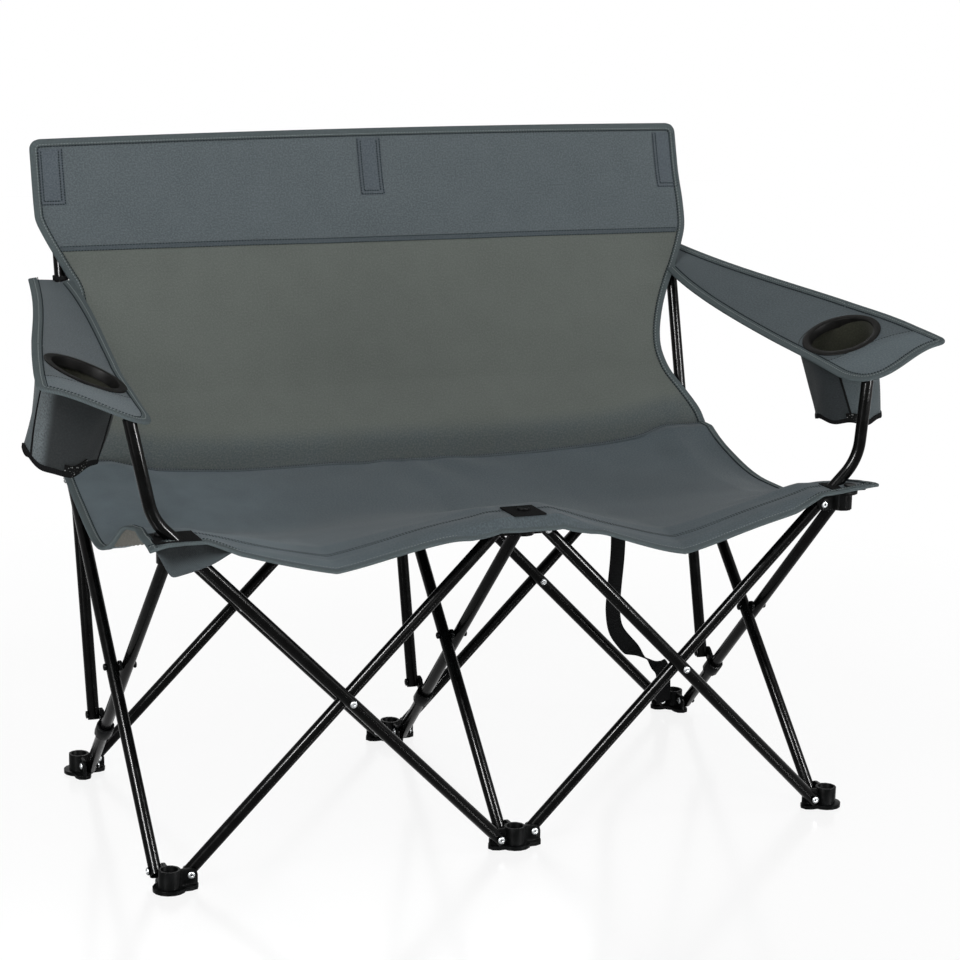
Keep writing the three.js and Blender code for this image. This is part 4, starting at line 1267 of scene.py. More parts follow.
@dataclass
class TubeFrame:
    """Legs, arm posts and uprights: round steel tube with open ends."""

    layout: Layout
    shop: Workshop
    wall: float = 1.0
    lip: float = 0.25
    sides: int = 32
    arm_bend_r: float = 70.0
    arm_bends: tuple[Point, ...] = ((12.5, 471.0, 594.0), (4.5, 478.0, 590.0))
    hinge: Pair = (143.6, 110.34)
    upright_top: float = 860.0

    def open_circle(self, at: Vector, direction: Vector) -> Thing:
        """A tube's end, ready to be extruded.

        Args:
            at: The middle of the end, in metres.
            direction: Where the tube goes.

        Returns:
            The circle.
        """
        clear_selection()
        bpy.ops.mesh.primitive_circle_add(
            vertices=self.sides,
            radius=self.layout.tube_r * MM,
            fill_type="NOTHING",
            location=at,
            rotation=direction.to_track_quat("Z", "Y").to_euler(),
        )
        ring = bpy.context.object
        bpy.ops.object.transform_apply(location=True, rotation=True, scale=True)
        return ring

    def walled(self, tube: Thing) -> Thing:
        """Gives a drawn tube its wall and its rounded ends."""
        edit(tube, whole=True)
        bpy.ops.mesh.remove_doubles(threshold=1e-6)
        bpy.ops.mesh.normals_make_consistent(inside=False)
        leave()
        outermost = max(tube.data.polygons, key=lambda face: face.center.y)
        if outermost.normal.y < 0:
            tube.data.flip_normals()
        modified(tube, "SOLIDIFY", thickness=self.wall * MM, offset=-1.0)
        modified(
            tube, "BEVEL", width=self.lip * MM, segments=2, limit_method="ANGLE", angle_limit=math.radians(50)
        )
        rounded(tube, 40.0)
        return tube

    def straight(self, name: str, length: float) -> Thing:
        """A straight tube along z from the origin.

        Args:
            name: The tube's name.
            length: Its length.

        Returns:
            The tube.
        """
        tube = self.open_circle(Vector((0, 0, 0)), Vector((0, 0, 1)))
        tube.name = name
        edit(tube, whole=True)
        extrude((0, 0, length * MM))
        return self.walled(tube)

    def arm(self, name: str, tilt: float, bend_z: float, top_z: float) -> Thing:
        """A front leg that bends into an arm post, in the plane y = 0 and towards +X.

        Args:
            name: The tube's name.
            tilt: The post's lean outwards, in degrees.
            bend_z: The height at which leg and post would meet.
            top_z: The height of the post's end.

        Returns:
            The tube.
        """
        lay = self.layout
        slant = Vector((1, 0, 1)).normalized()
        lean = math.radians(tilt)
        post = Vector((math.sin(lean), 0, math.cos(lean)))
        start = Vector((lay.pin, 0, lay.foot_pin_z)) - slant * lay.past_pin
        corner = Vector((lay.pitch - lay.pin, 0, lay.hub_pin_z)) + slant * (
            (bend_z - lay.hub_pin_z) / slant.z
        )
        turn = math.radians(45) - lean
        tangent = self.arm_bend_r * math.tan(turn / 2)
        first = corner - slant * tangent
        middle = first + Vector((-1, 0, 1)).normalized() * self.arm_bend_r
        last = corner + post * tangent
        top = corner + post * ((top_z - bend_z) / post.z)
        tube = self.open_circle(start * MM, slant)
        tube.name = name
        edit(tube, whole=True)
        extrude((first - start) * MM)
        bpy.ops.mesh.spin(steps=14, angle=turn, center=middle * MM, axis=(0, 1, 0))
        rim, reach = last * MM, (lay.tube_r + 0.5) * MM
        pick(tube, lambda p: (p - rim).length < reach and abs((p - rim).dot(post)) < 1e-5)
        extrude((top - last) * MM)
        return self.walled(tube)

    def build(self) -> list[Thing]:
        """Makes every tube from four that are modelled once."""
        lay = self.layout
        rise = lay.pitch - 2 * lay.pin
        leg = self.straight("leg", rise * math.sqrt(2) + 2 * lay.past_pin)
        slope = Vector((0, lay.slope, 1)).normalized()
        post = self.straight("upright", (self.upright_top - self.hinge[1]) / slope.z + lay.past_pin)
        arms = {way: self.arm("arm", *bend) for way, bend in zip((-1, 1), self.arm_bends)}
        made = []
        for row in Row:
            for a, b in ((-1, 0), (0, -1), (0, 1), (1, 0)):
                foot, hub = Column(a), Column(b)
                node = f"leg_{row.letter}{foot.letter}_to_{row.letter}{hub.letter}"
                way = b - a
                y = row.value * lay.row + way * lay.layer
                if row is Row.FRONT and a == 0:
                    place = Matrix.Translation(Vector(lay.world((0, y, 0)))) @ Matrix.Diagonal((way, 1, 1, 1))
                    piece = placed_copy(arms[way], f"{node}_tube", place)
                else:
                    slant = Vector((way, 0, 1)).normalized()
                    pin = Vector((a * lay.pitch + way * lay.pin, y, lay.foot_pin_z))
                    place = turned(slant, lay.world(pin - slant * lay.past_pin))
                    piece = placed_copy(leg, f"{node}_tube", place)
                made.append(self.fit(piece, node))
        for column in Column:
            x = column.value * lay.pitch
            for row in Row:
                node = f"leg_{row.letter}{column.letter}_to_{'r' if row is Row.FRONT else 'f'}{column.letter}"
                slant = Vector((0, -row.value, 1)).normalized()
                pin = Vector((x + row.value * lay.layer, row.value * (lay.row - lay.pin), lay.foot_pin_z))
                piece = placed_copy(leg, f"{node}_tube", turned(slant, lay.world(pin - slant * lay.past_pin)))
                made.append(self.fit(piece, node))
            foot = Vector((x, *self.hinge)) - slope * lay.past_pin
            node = f"upright_{column.word}"
            piece = placed_copy(post, f"{node}_tube", turned(slope, lay.world(foot)))
            made.append(self.fit(piece, node, f"upright_{column.letter}"))
        for master in (leg, post, *arms.values()):
            bpy.data.objects.remove(master)
        return made

    def fit(self, piece: Thing, node: str, body: str = "") -> Thing:
        """Enamels a tube and sets it in place of its node."""
        self.shop.dress(piece, TUBE)
        return self.shop.hang(piece, body or node, "black_tube", [node])


@dataclass
class Fittings:
    """Moulded feet, hubs and guides, and the rivets through them."""

    layout: Layout
    shop: Workshop
    nodes: dict[str, Thing]
    edge: float = 0.7
    head_r: float = 4.6
    head_h: float = 2.8
    dome: float = 1.9
    dimple_in: float = 2.852
    dimple_wide: float = 0.7
    dimple_deep: float = 0.9
    near_face: float = -2.0
    far_face: float = 18.9
    spacer_r: float = 7.0
    spacer_h: float = 4.4
    spacer_edge: float = 0.6
    shank_r: float = 3.0
    shank_h: float = 40.0
    cross_z: float = 220.0

    def soften(self, node: str, body: str) -> Thing:
        """A moulding with its edges rounded, in place of the frame's plain one.

        Args:
            node: The frame's node.
            body: The body that it moves with.

        Returns:
            The moulding.
        """
        piece = placed_copy(self.nodes[node], f"{node}_moulding", Matrix.Identity(4))
        edit(piece, whole=True)
        bpy.ops.mesh.remove_doubles(threshold=2e-6)
        bpy.ops.mesh.dissolve_limited(angle_limit=math.radians(0.6))
        leave()
        modified(
            piece, "BEVEL", width=self.edge * MM, segments=2,
            limit_method="ANGLE", angle_limit=math.radians(38),
        )
        rounded(piece, 38.0)
        self.shop.dress(piece, NYLON)
        return self.shop.hang(piece, body, "black_moulding", [node])

    def rivet_head(self) -> Thing:
        """A domed, rolled rivet head that stands on z = 0."""
        high = self.head_h * MM
        head = cylinder(self.head_r, self.head_h, 28)
        head.data.transform(Matrix.Translation((0, 0, high / 2)))
        edit(head, "FACE")
        pick(head, lambda p: p.z > high * 0.99, faces=True)
        bpy.ops.mesh.inset(thickness=self.dimple_in * MM, depth=0.0)
        bpy.ops.mesh.inset(thickness=self.dimple_wide * MM, depth=-self.dimple_deep * MM)
        edit(head)
        rim = self.head_r * MM * 0.98
        pick(head, lambda p: p.z > high * 0.99 and math.hypot(p.x, p.y) > rim)
        bpy.ops.mesh.bevel(offset=self.dome * MM, segments=5, profile=0.55, affect="EDGES")
        leave()
        rounded(head, 40.0)
        head.name = "rivet_head"
        return head

    def pins(self, row: Row, column: Column, hub: bool) -> list[tuple[Vector, Vector]]:
        """The pins of one foot or hub.

        Args:
            row: Its row.
            column: Its column.
            hub: Whether it is a hub and not a foot.

        Returns:
            For each pin, its place and the direction from its bare side to its far side.
        """
        lay = self.layout
        z = lay.hub_pin_z if hub else lay.foot_pin_z
        x, y = column.value * lay.pitch, row.value * lay.row
        flip = -1 if hub else 1
        found = []
        if column is not Column.RIGHT:
            found.append((Vector((x + lay.pin, y, z)), Vector((0, flip, 0))))
        if column is not Column.LEFT:
            found.append((Vector((x - lay.pin, y, z)), Vector((0, -flip, 0))))
        inward = -row.value
        found.append((Vector((x, y + inward * lay.pin, z)), Vector((-flip * inward, 0, 0))))
        return found

    def build(self) -> None:
        """Softens the mouldings and rivets them."""
        head = self.rivet_head()
        for row in Row:
            for column in Column:
                for part in ("foot", "hub"):
                    node = f"{part}_{row.word}_{column.word}"
                    body = f"{part}_{row.letter}{column.letter}"
                    self.soften(node, body)
                    heads = []
                    for at, way in self.pins(row, column, part == "hub"):
                        near = self.layout.world(at + way * self.near_face)
                        far = self.layout.world(at + way * self.far_face)
                        heads.append(placed_copy(head, "head", turned(-way, near)))
                        heads.append(placed_copy(head, "head", turned(way, far)))
                    rivets = joined(f"{node}_rivets", heads)
                    self.shop.dress(rivets, ZINC)
                    self.shop.hang(rivets, body, "rivets")
        for column in Column:
            self.soften(f"guide_{column.word}", f"guide_{column.letter}")
        self.cross_rivets(head)
        bpy.data.objects.remove(head)

    def cross_rivets(self, head: Thing) -> None:
        """Rivets each crossing of two tubes through a spacer.

        Args:
            head: The rivet head that is copied.
        """
        lay = self.layout
        spots = []
        for row in Row:
            for side in Side:
                node = f"rivet_{row.word}_{side.word}"
                body = f"leg_{row.letter}m_to_{row.letter}{side.letter}"
                at = (side.value * lay.pitch / 2, row.value * lay.row, self.cross_z)
                spots.append((node, body, at, Vector((0, 1, 0))))
        for column in Column:
            c = column.letter
            at = (column.value * lay.pitch, 0.0, self.cross_z)
            spots.append((f"rivet_side_{column.word}", f"leg_f{c}_to_r{c}", at, Vector((1, 0, 0))))
        for node, body, at, way in spots:
            heads = [
                placed_copy(
                    head, "head", turned(sign * way, lay.world(Vector(at) + sign * way * self.far_face))
                )
                for sign in (-1, 1)
            ]
            spacer = cylinder(self.spacer_r, self.spacer_h, 28)
            spacer.data.transform(turned(way, lay.world(at)))
            width = self.spacer_edge * MM
            modified(spacer, "BEVEL", width=width, segments=2, limit_method="ANGLE", angle_limit=0.7)
            rounded(spacer, 40.0)
            shank = cylinder(self.shank_r, self.shank_h, 20)
            shank.data.transform(turned(way, lay.world(at)))
            rivet = joined(f"{node}_shank", [*heads, shank])
            self.shop.dress(rivet, NYLON if "side" in node else ZINC)
            self.shop.hang(rivet, body, "rivets", [node])
            spacer.name = f"{node}_spacer"
            self.shop.dress(spacer, NYLON)
            self.shop.hang(spacer, body, "black_moulding")


@dataclass
class Seat:
    """Seat cloth in two halves that meet at the fold, with its hem, binding and stitching."""

    layout: Layout
    shop: Workshop
    shape: SeatShape
    keep: float = 0.2
    hem: float = 38.0
    tip_out: float = 11.0
    tip_up: float = 8.0
    tip_from: Pair = (430.0, -190.0)
    tip_over: Pair = (58.0, 60.0)
    droop: float = 7.0
    droop_from: Point = (24.0, -446.0, -196.0)
    droop_over: Point = (16.0, 20.0, 30.0)
    apron_wide: float = 78.0
    apron_drop: float = 15.0
    apron_out: float = 9.0
    narrow: float = 4.0
    narrow_from: Pair = (60.0, 150.0)
    lining_ends: Pair = (-8.0, -236.0)
    lining_under: float = 1.4
    lining_least: float = 0.4
    lining_wave: float = 0.8
    lining_in: float = 5.0
    lining_thick: float = 1.0
    flap_under: float = 1.0
    flap_least: float = 0.5
    flap_in: float = 1.5
    flap_thick: float = 1.2
    rear_fold: tuple[Pair, ...] = ((0, -1.9), (0, 1.9), (8, 1.9), (8.6, 0), (8, -1.9))
    flap: tuple[Pair, ...] = (
        (-482, 438), (-474, 424), (-466, 409), (-461, 404), (-446, 406), (-430, 410), (-411, 416),
        (-388, 428),
    )

    def panel(self, rear: bool) -> Panel:
        """The front or rear half as a surface.

        Args:
            rear: Whether it is the rear half.

        Returns:
            The surface: its first share runs across, its second towards the rear.
        """
        lay = self.layout
        half = lay.pitch + lay.seat_side

        def at(u: Array, v: Array) -> Array:
            """The surface's points at two shares."""
            x = (2 * u - 1) * half
            y = lay.crease_y(x) * v if rear else (lay.row + lay.seat_front) * (v - 1)
            back = share((y - self.narrow_from[0]) / self.narrow_from[1])
            x = x * (1 - self.narrow / half * back * (x > 0))
            z = self.shape.height(x, y) + self.shape.folds(x, y)
            return lay.world(np.stack([x, y, z] if rear else self.corners(x, y, z), -1))

        return Panel(at, (0.0, 0.0, 1.0))

    def corners(self, x: Array, y: Array, z: Array) -> list[Array]:
        """Lets the hem hang at the left corner and the middle hub, and draws the right corner to a tip.

        Args:
            x: Places across.
            y: Places from front to rear.
            z: Heights.

        Returns:
            The three as they hang.
        """
        lay = self.layout
        past = share((-lay.row - y) / lay.seat_front)
        from_hub = np.hypot(x + lay.pitch, y + lay.row)
        far, left, ahead = self.droop_from
        over = self.droop_over
        slack = share((from_hub - far) / over[0]) * share((left - x) / over[1]) * share((ahead - y) / over[2])
        apron = np.exp(-((x / self.apron_wide) ** 4))
        right, ahead = self.tip_from
        tip = share((x - right) / self.tip_over[0]) * share((ahead - y) / self.tip_over[1])
        z = z - self.droop * slack - self.apron_drop * apron * share((past - 0.6) / 0.4) + self.tip_up * tip
        return [x + self.tip_out * tip, y - self.apron_out * apron * past, z]

    def hanging_flap(self, panel: Panel, trim: Draft) -> None:
        """The turned-in cloth that hangs from the hem in front of the left hub.

        Args:
            panel: The front half.
            trim: Takes the flap, in its fourth slot.
        """
        lay = self.layout
        x = np.linspace(self.flap[0][0], self.flap[-1][0], 40)
        edge = panel.at((x / (lay.pitch + lay.seat_side) + 1) / 2, np.zeros_like(x))
        outline = rounded_path(np.array(self.flap, float), 80)
        low = np.interp(x, outline[:, 0], outline[:, 1]) * MM
        down = np.linspace(0, 1, 9)
        grid = np.repeat(edge[:, None], 9, 1)
        drop = np.minimum(low - edge[:, 2], -self.flap_least * MM)
        grid[..., 2] += drop[:, None] * down[None] - self.flap_under * MM
        grid[..., 1] += self.flap_in * (1 + np.sin(math.pi * down))[None] * MM
        half = self.flap_thick / 2
        # The flap's cloth is dark, and darker still towards its top: painted shade under the rolled hem.
        trim.slab(grid, np.broadcast_to(np.array([0.0, -1.0, 0.0]), grid.shape), -half, half, 3)

    def lining(self, panel: Panel, trim: Draft) -> None:
        """The lining that shows under the left edge, where the cloth is pulled up to the hub.

        Args:
            panel: The front half.
            trim: Takes the lining, in its third slot.
        """
        lay = self.layout
        y = np.linspace(*self.lining_ends, 40)
        edge = panel.at(np.full(40, 0.004), 1 + y / (lay.row + lay.seat_front))
        edge = edge - UP * self.lining_under * MM
        taut = edge[0, 2] + (edge[-1, 2] - edge[0, 2]) * np.linspace(0, 1, 40)
        wave = self.lining_wave * MM * np.sin(np.arange(40) * 1.9)
        drop = np.maximum(self.lining_least * MM, edge[:, 2] - taut + wave)
        down = np.linspace(0, 1, 7)
        grid = np.repeat(edge[:, None], 7, 1)
        grid[..., 2] -= drop[:, None] * down[None]
        grid[..., 0] += self.lining_in * MM * down[None]
        half = self.lining_thick / 2
        trim.slab(grid, np.broadcast_to(np.array([-1.0, 0.0, 0.0]), grid.shape), -half, half, 2)

    def build(self) -> None:
        """Cuts, binds and stitches both halves."""
        for rear in (False, True):
            self.half(rear)

    def half(self, rear: bool) -> None:
        """Makes one half with its trim.

        Args:
            rear: Whether it is the rear half.
        """
        name = "seat_rear" if rear else "seat_front"
        panel = self.panel(rear)
        rows = np.linspace(0, 1, 56)
        if not rear:
            rows = np.concatenate([np.linspace(0, 0.11, 20), np.linspace(0.125, 1, 48)])
        lay = self.layout
        cloth, _ = panel.cut_out(f"{name}_cloth", np.linspace(0, 1, 220), rows, lay.cloth)
        # The seat canvas is a darker copy, painted shade, with painted light graded in towards its left end.
        self.shop.dress(cloth, SEAT_SLATE_PAINTED_SHADE_AND_LIGHT)
        self.shop.hang(cloth, name, "slate_cloth", [name])
        trim, thread = Draft(), Draft()
        inside = np.array([0.5, 0.5])
        for u in (0.0, 1.0):
            Binding().sew(panel.line(np.linspace((u, 0), (u, 1), 90), inside), trim, thread)
        if rear:
            path, side, up = panel.line(np.linspace((0, 1), (1, 1), 300), inside)
            # Slot 1 is the darker seam slate, partly painted shade of the crease.
            trim.sweep(path, side, up, self.rear_fold, 1)
            thread.stitches(path + side * 4 * MM, side, up, FOLD_SEAM)
        else:
            Binding().sew(panel.line(np.linspace((0, 0), (1, 0), 300), inside), trim, thread)
            share_in = self.hem / (lay.row + lay.seat_front)
            for v in (share_in, share_in + 0.016):
                thread.stitches(*panel.line(np.linspace((0.015, v), (0.985, v), 300)), HEM_SEAM)
            self.lining(panel, trim)
            self.hanging_flap(panel, trim)
        bound, sewn = self.shop.trimmed(name, trim, thread, BINDING, SEAM_SLATE_PARTLY_PAINTED_SHADE, LINING, FLAP_SLATE_PAINTED_SHADE)
        for piece in (bound, sewn):
            self.shop.hang(piece, name, "slate_cloth")
        for piece in (cloth, bound, sewn):
            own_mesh(piece)


@dataclass
class Back:
    """Back cloth: lower panel, upper band, the doubled seam between them, binding and sleeves."""

    layout: Layout
    shop: Workshop
    seat: SeatShape
    top: float = 868.0
    band: float = 146.0
    ahead: float = 12.0
    curl: float = 84.0
    tuck: float = -3.4
    corner: float = 12.0
    rise: float = 0.0105
    keep: float = 0.21
    sleeve: float = 80.0
    sleeve_half: float = 18.0
    sleeve_down: float = 6.0
    sleeve_gap: float = 2.2
    sleeve_flat: Pair = (-9.5, -8.0)
    patches: Point = (-465.0, -8.0, 457.0)
    patch_down: Pair = (89.0, 12.0)
    strip: Pair = (-5.2, 1.0)
    strip_rows: Pair = (-5.0, 0.8)
    left: tuple[Pair, ...] = (
        (436, -482), (463, -470), (493, -455), (520, -441), (549, -432), (571, -430), (600, -434),
        (629, -438), (667, -443), (691, -456), (733, -478), (760, -489), (775, -490), (875, -490),
    )
    right: tuple[Pair, ...] = (
        (436, 488), (450, 482), (463, 476), (493, 456), (520, 438), (549, 427), (571, 426), (606, 433),
        (642, 446), (674, 462), (705, 475), (726, 481), (760, 481), (800, 477.5), (875, 476),
    )
    crown: float = 3.6
    crown_from: Pair = (700.0, 160.0)
    behind_seat: float = 2.6
    belly: float = 5.0
    bay: float = 190.0
    slack_z: float = 470.0
    slack_ease: Pair = (120.0, 130.0)
    fold: float = 0.9
    fold_wide: float = 150.0
    ripple: float = 0.8
    patch_rows: Pair = (1.5, 6.0)

    @property
    def seam_z(self) -> float:
        """The height of the seam between the panel and the band."""
        return self.top - self.band

    @property
    def foot_z(self) -> float:
        """The height of the panel's foot before it follows the seat."""
        return self.layout.seat_z + self.tuck

    def sides(self, z: Array) -> tuple[Array, Array]:
        """Where the cloth's two edges are across, at a height; the top corners are rounded."""
        r = self.corner
        cut = r - np.sqrt(np.maximum(0, r * r - np.clip(z - self.top + r, 0, r) ** 2))
        ends = []
        for stops, way in ((self.left, 1), (self.right, -1)):
            line = rounded_path(np.array(stops, float), 120)
            ends.append(np.interp(z, line[:, 0], line[:, 1]) + way * cut)
        return ends[0], ends[1]

    def at_height(self, u: Array, z: Array) -> Array:
        """Points of the cloth.

        Args:
            u: Places across, from 0 to 1.
            z: Heights on the cloth before it follows the seat.

        Returns:
            The points in metres.
        """
        lay = self.layout
        left, right = self.sides(z)
        x = left + (right - left) * u
        foot = self.seat.height(x, lay.crease_y(x)) + self.tuck
        high = z + (foot - self.foot_z) * share((self.seam_z - z) / (self.seam_z - self.foot_z))
        behind = lay.upright_y(high) - self.ahead
        curl = smooth((high - lay.flange_top - lay.crease_gap) / self.curl)
        crease = lay.crease_y(x) + self.behind_seat
        y = crease + (behind - crease) * curl + self.slack(x, high)
        lift = self.rise * x + self.crown * (1 - (x / lay.pitch) ** 2)
        crown = smooth((z - self.crown_from[0]) / self.crown_from[1])
        return lay.world(np.stack([x, y, high + lift * crown], -1))

    def slack(self, x: Array, z: Array) -> Array:
        """How far the cloth bellies back between the uprights, with a few soft folds.

        Args:
            x: Places across.
            z: Heights.

        Returns:
            Millimetres towards the rear.
        """
        low, high = self.slack_ease
        bay = share(self.layout.nearest(x, (-self.layout.pitch, 0.0, self.layout.pitch)) / self.bay)
        mid = smooth((z - self.slack_z) / low) * smooth((self.top - z) / high)
        fold = np.sin(z * 0.055 + np.abs(x) * 0.012) * np.exp(-((x / self.fold_wide) ** 2))
        ripple = np.sin(x * 0.024 + z * 0.018) * np.sin(z * 0.037 - x * 0.006)
        return (self.belly * bay**1.5 + self.fold * fold + self.ripple * ripple) * mid

    def panel(self, low: float, high: float) -> Panel:
        """The cloth between two heights: its first share runs across, its second upwards."""
        return Panel(lambda u, v: self.at_height(u, low + (high - low) * v), (0.0, -1.0, 0.0))

    def build(self) -> None:
        """Cuts, joins, binds and stitches the back."""
        pieces = []
        lower = self.panel(self.foot_z, self.seam_z)
        upper = self.panel(self.seam_z, self.top)
        whole = self.panel(self.foot_z, self.top)
        for name, panel, rows, finish, node, slot in (
            # The lower panel's canvas has painted light graded in at its foot.
            ("back_lower_panel", lower, 90, OLIVE, "back_panel", "back_cloth"),
            ("back_upper_band", upper, 44, SLATE, "back_band", "slate_cloth"),
        ):
            top = 0.9 + 0.1 * np.sin(np.linspace(0, math.pi / 2, 12))[1:]
            heights = np.concatenate([np.linspace(0, 0.9, rows), top])
            cloth, grid = panel.cut_out(name, np.linspace(0, 1, 180), heights, self.layout.cloth)
            self.shop.dress(cloth, finish)
            self.shop.hang(cloth, "upright_m", slot, [node])
            wide, tall = length_of(grid[:, rows // 2]), length_of(grid[90])
            pieces.append(cloth)
        trim, thread = Draft(), Draft()
        tall = self.top - self.foot_z
        left, right = np.linspace((0, 0), (0, 1), 240), np.linspace((1, 1), (1, 0), 240)
        over = np.linspace((0, 1), (1, 1), 260)[1:-1]
        edge = whole.line(np.concatenate([left, over, right]), np.array([0.5, 0.4]), 2.5)
        Binding().sew(edge, trim, thread)
        seam = (self.seam_z - self.foot_z) / tall
        strip, up = whole.grid(np.linspace(0.012, 0.988, 180), seam + np.linspace(*self.strip, 5) / tall)
        trim.slab(strip, up, 0.9, 2.2, 2)
        for lift in self.strip_rows:
            v = seam + lift / tall
            thread.stitches(*whole.line(np.linspace((0.013, v), (0.987, v), 260)), BAND_SEAM)
        for x in self.patches:
            self.top_patch(whole, x, trim, thread)
        for column in Column:
            self.rear_sleeve(column.value * self.layout.pitch, trim)
        bound, sewn = self.shop.trimmed("back", trim, thread, BINDING, SLATE, SEAM_SLATE_PARTLY_PAINTED_SHADE, PATCH_SLATE)
        for piece in (bound, sewn):
            self.shop.hang(piece, "upright_m", "slate_cloth")
        for piece in (*pieces, bound, sewn):
            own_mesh(piece)

    def top_patch(self, whole: Panel, x: float, trim: Draft, thread: Draft) -> None:
        """Sews on the doubled rectangle that holds an upright's sleeve.

        Args:
            whole: The back's surface.
            x: The rectangle's middle, across.
            trim: Takes the rectangle.
            thread: Takes its two rows of stitches.
        """
        tall = self.top - self.foot_z
        left, right = self.sides(np.array([self.top - 40]))
        wide = float(right[0] - left[0])
        mid, du = (x - float(left[0])) / wide, self.sleeve_half / wide
        low, high = (1 - down / tall for down in self.patch_down)
        cloth, up = whole.grid(np.linspace(mid - du, mid + du, 12), np.linspace(low, high, 24))
        trim.slab(cloth, up, 0.8, 1.7, 3)
        for inset in self.patch_rows:
            a, b = mid - du + inset / wide, mid + du - inset / wide
            c, d = low + inset / tall, high
            for first, last in (((a, c), (a, d)), ((b, c), (b, d)), ((a, c), (b, c))):
                thread.stitches(*whole.line(np.linspace(first, last, 40), step=2.0), PATCH_SEAM)

    def rear_sleeve(self, x: float, trim: Draft) -> None:
        """The pocket behind the band that an upright's end goes into.

        Args:
            x: Where the upright is, across.
            trim: Takes the sleeve.
        """
        lay = self.layout
        high = self.top - self.sleeve_down
        z = np.linspace(high, high - self.sleeve, 14)
        axis = np.stack([np.full(14, x), lay.upright_y(z), z], 1)
        turn = np.linspace(0, math.pi, 15)
        r = lay.tube_r + self.sleeve_gap
        wrap = np.stack([np.cos(turn) * r, np.sin(turn) * r], 1)
        edge, near = self.sleeve_half + 1, r + 0.5
        low, bend = self.sleeve_flat
        wrap = np.vstack([[edge, low], [near, bend], wrap, [-near, bend], [-edge, low]])
        grid = axis[:, None] + np.column_stack([wrap, np.zeros(len(wrap))])[None]
        points = lay.world(grid)
        across = np.gradient(points, axis=1)
        along = np.gradient(points, axis=0)
        trim.slab(points, unit(np.cross(across, along)), -0.6, 0.6, 1)


@dataclass(frozen=True)
class PocketCut:
    """How a cup pocket is cut and hangs: places round it in degrees from +X, its foot's lift in mm."""

    # cloth is the wall's darker cloth, painted shade; pale spans the places round the wall that keep the
    # plainer slate.
    cloth: Finish
    seams: tuple[float, ...]
    pale: Pair
    net: Pair
    lift_out: float
    lift_in: float
    slant: float


POCKETS = {
    Side.LEFT: PocketCut(
        LEFT_POCKET_PAINTED_SHADE_AND_LIGHT, seams=(205, 330), pale=(140, 205), net=(262, 300), lift_out=26, lift_in=12, slant=0
    ),
    Side.RIGHT: PocketCut(
        RIGHT_POCKET_PAINTED_SHADE, seams=(232, 60), pale=(232, 400), net=(240, 268), lift_out=8, lift_in=0, slant=16
    ),
}


